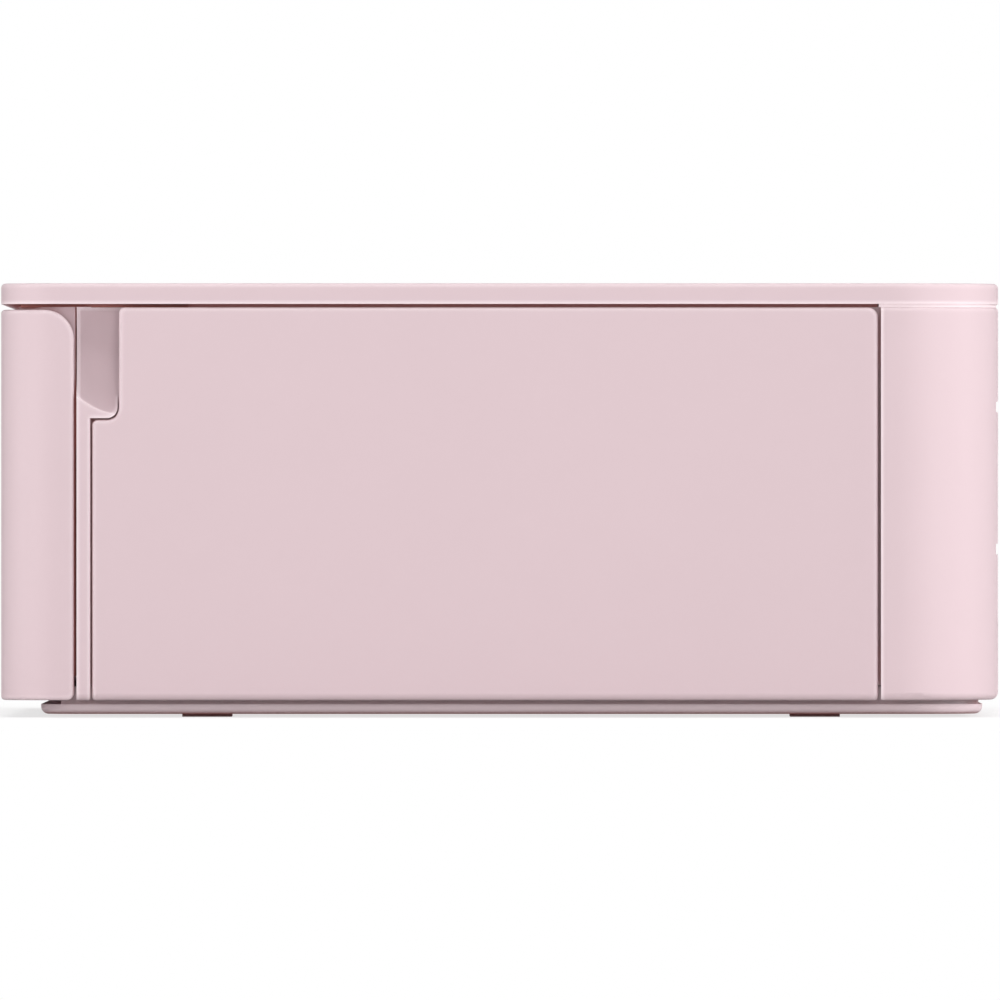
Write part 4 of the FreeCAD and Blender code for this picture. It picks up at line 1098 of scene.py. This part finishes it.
@dataclass(frozen=True)
class StudioSheet:
    """Matt white sheet that looks bright but throws little light back up."""

    name: str = "Matt white studio sheet"
    seen: str = "FFFFFF"
    thrown: str = "CCCACA"
    shadow: float = 0.3
    shadow_reach: Pair = (0.1, 0.32)
    fibre_mm: float = 3.0
    fibre_depth_mm: float = 0.02
    fibre_strength: float = 0.1
    roughness: float = 0.9
    specular: float = 0.1

    def material(self) -> bpy.types.Material:
        """Make the finish: plain white with a faint fibre and a soft shadow near the printer.

        Returns:
            The material.
        """
        material, tree, places = new_tree(self.name)
        ray = add_node(tree, "LightPath").outputs["Is Camera Ray"]
        colour = add_node(tree, "MixRGB",
                          {"Color1": linear(self.thrown), "Color2": linear(self.seen)},
                          {"Fac": ray})
        fibre = add_node(tree, "TexNoise", {"Scale": 1 / (self.fibre_mm * MM)},
                         {"Vector": places})
        bump = add_node(tree, "Bump", {"Strength": self.fibre_strength,
                                       "Distance": self.fibre_depth_mm * MM},
                        {"Height": fibre.outputs["Fac"]})
        sheet = add_node(tree, "BsdfPrincipled",
                         {"Roughness": self.roughness, "Specular IOR Level": self.specular},
                         {"Base Color": colour.outputs[0], "Normal": bump.outputs[0]})
        lit = add_node(tree, "Emission", {"Color": linear(self.seen)})
        away = add_node(tree, "VectorMath", {"operation": "LENGTH"}, {0: places})
        near, far = self.shadow_reach
        bright = add_node(tree, "MapRange", {"From Min": near, "From Max": far,
                                             "To Min": 1 - self.shadow, "To Max": 1.0},
                          {"Value": away.outputs["Value"]})
        part = add_node(tree, "Math", {"operation": "MULTIPLY"},
                        {0: ray, 1: bright.outputs[0]})
        shader = add_node(tree, "MixShader", links={0: part.outputs[0], 1: sheet.outputs[0],
                                                    2: lit.outputs[0]})
        add_node(tree, "OutputMaterial", links={"Surface": shader.outputs[0]})
        return material


@dataclass(frozen=True)
class SoftLight:
    """Rectangular light that faces the printer, in metres and watts.

    Only the narrow strips are mirrored in glossy surfaces, where they draw thin highlights.
    """

    name: str
    place: Point
    size: Pair
    power: float
    mirrored: bool = False

    def hang(self, target: Point) -> None:
        """Add the light, hidden from the camera.

        Args:
            target: The point that it faces.
        """
        light = bpy.data.lights.new(self.name, "AREA")
        light.shape = "RECTANGLE"
        light.size, light.size_y = self.size
        light.energy = self.power
        holder = bpy.data.objects.new(self.name, light)
        holder.visible_camera = False
        holder.visible_glossy = self.mirrored
        holder.location = self.place
        aim = Vector(target) - Vector(self.place)
        holder.rotation_euler = aim.to_track_quat("-Z", "Y").to_euler()
        bpy.context.scene.collection.objects.link(holder)


LIGHTS = (
    SoftLight("side_softbox", (2.6, -0.15, 0.22), (1.6, 1.0), 36.5),
    SoftLight("rear_strip", (0.12, 1.1, 0.25), (0.3, 0.8), 9.8),
    SoftLight("front_strip", (0.2, -1.1, 0.25), (0.3, 0.8), 4.8),
    SoftLight("top_softbox", (0.0, 0.0, 1.0), (1.6, 1.2), 7.0),
    SoftLight("left_softbox", (-2.6, 0.2, 0.3), (1.6, 1.0), 14.0),
    SoftLight("rear_edge_strip", (1.0, 1.2, 0.25), (0.08, 0.8), 1.4, mirrored=True),
    SoftLight("front_edge_strip", (1.0, -1.2, 0.25), (0.08, 0.8), 1.4, mirrored=True),
    SoftLight("top_edge_strip", (1.0, 0.0, 1.1), (1.2, 0.08), 2.2, mirrored=True),
)


@dataclass(frozen=True)
class Studio:
    """White floor, soft lights and the camera at the photograph's angle, in metres."""

    camera_distance: float = 4.0
    door_plane: float = 0.0911
    view_width: float = 133.06 * MM
    view_height_centre: float = 0.02895
    nearest: float = 0.01
    farthest: float = 50.0
    sensor_mm: float = 36.0
    floor_size: float = 2.4
    sky: float = 0.23

    def build(self) -> None:
        """Make the floor, the sky, the lights and the camera."""
        bpy.context.scene.view_settings.view_transform = "Standard"
        self.make_floor()
        self.make_sky()
        for light in LIGHTS:
            light.hang((0.0, 0.0, self.view_height_centre))
        self.make_camera()

    def make_floor(self) -> None:
        """Make the white floor."""
        half = self.floor_size / 2
        mesh = bpy.data.meshes.new("floor")
        mesh.from_pydata([(-half, -half, 0), (half, -half, 0), (half, half, 0), (-half, half, 0)],
                         [], [(0, 1, 2, 3)])
        floor = bpy.data.objects.new("floor", mesh)
        mesh.materials.append(StudioSheet().material())
        bpy.context.scene.collection.objects.link(floor)

    def make_sky(self) -> None:
        """Light everything evenly, with plain white behind it."""
        world = bpy.data.worlds.new("studio_air")
        bpy.context.scene.world = world
        world.use_nodes = True
        tree = world.node_tree
        tree.nodes.clear()
        air = add_node(tree, "Background", {"Color": WHITE, "Strength": self.sky})
        backdrop = add_node(tree, "Background", {"Color": WHITE, "Strength": 1.0})
        seen = add_node(tree, "LightPath").outputs["Is Camera Ray"]
        both = add_node(tree, "MixShader", links={0: seen, 1: air.outputs[0],
                                                  2: backdrop.outputs[0]})
        add_node(tree, "OutputWorld", links={"Surface": both.outputs[0]})

    def make_camera(self) -> None:
        """Aim a long lens square at the ink door's side."""
        camera = bpy.data.cameras.new("camera")
        camera.sensor_width = self.sensor_mm
        camera.lens = self.sensor_mm * self.camera_distance / self.view_width
        camera.clip_start = self.nearest
        camera.clip_end = self.farthest
        holder = bpy.data.objects.new("camera", camera)
        holder.location = (self.door_plane + self.camera_distance, 0.0, self.view_height_centre)
        holder.rotation_euler = (math.radians(90), 0.0, math.radians(90))
        bpy.context.scene.collection.objects.link(holder)
        bpy.context.scene.camera = holder


def main() -> None:
    """Build every sub-assembly in order, then the studio."""
    logging.basicConfig(level=logging.INFO)
    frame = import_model()
    wardrobe = Wardrobe()
    for kind in (Housing, Doors, KeyField, PaperPath, DriveTrain, InkCassette, Electronics):
        assembly = kind(frame, wardrobe)
        assembly.build()
        assembly.report()
    Studio().build()


if __name__ == "__main__":
    main()
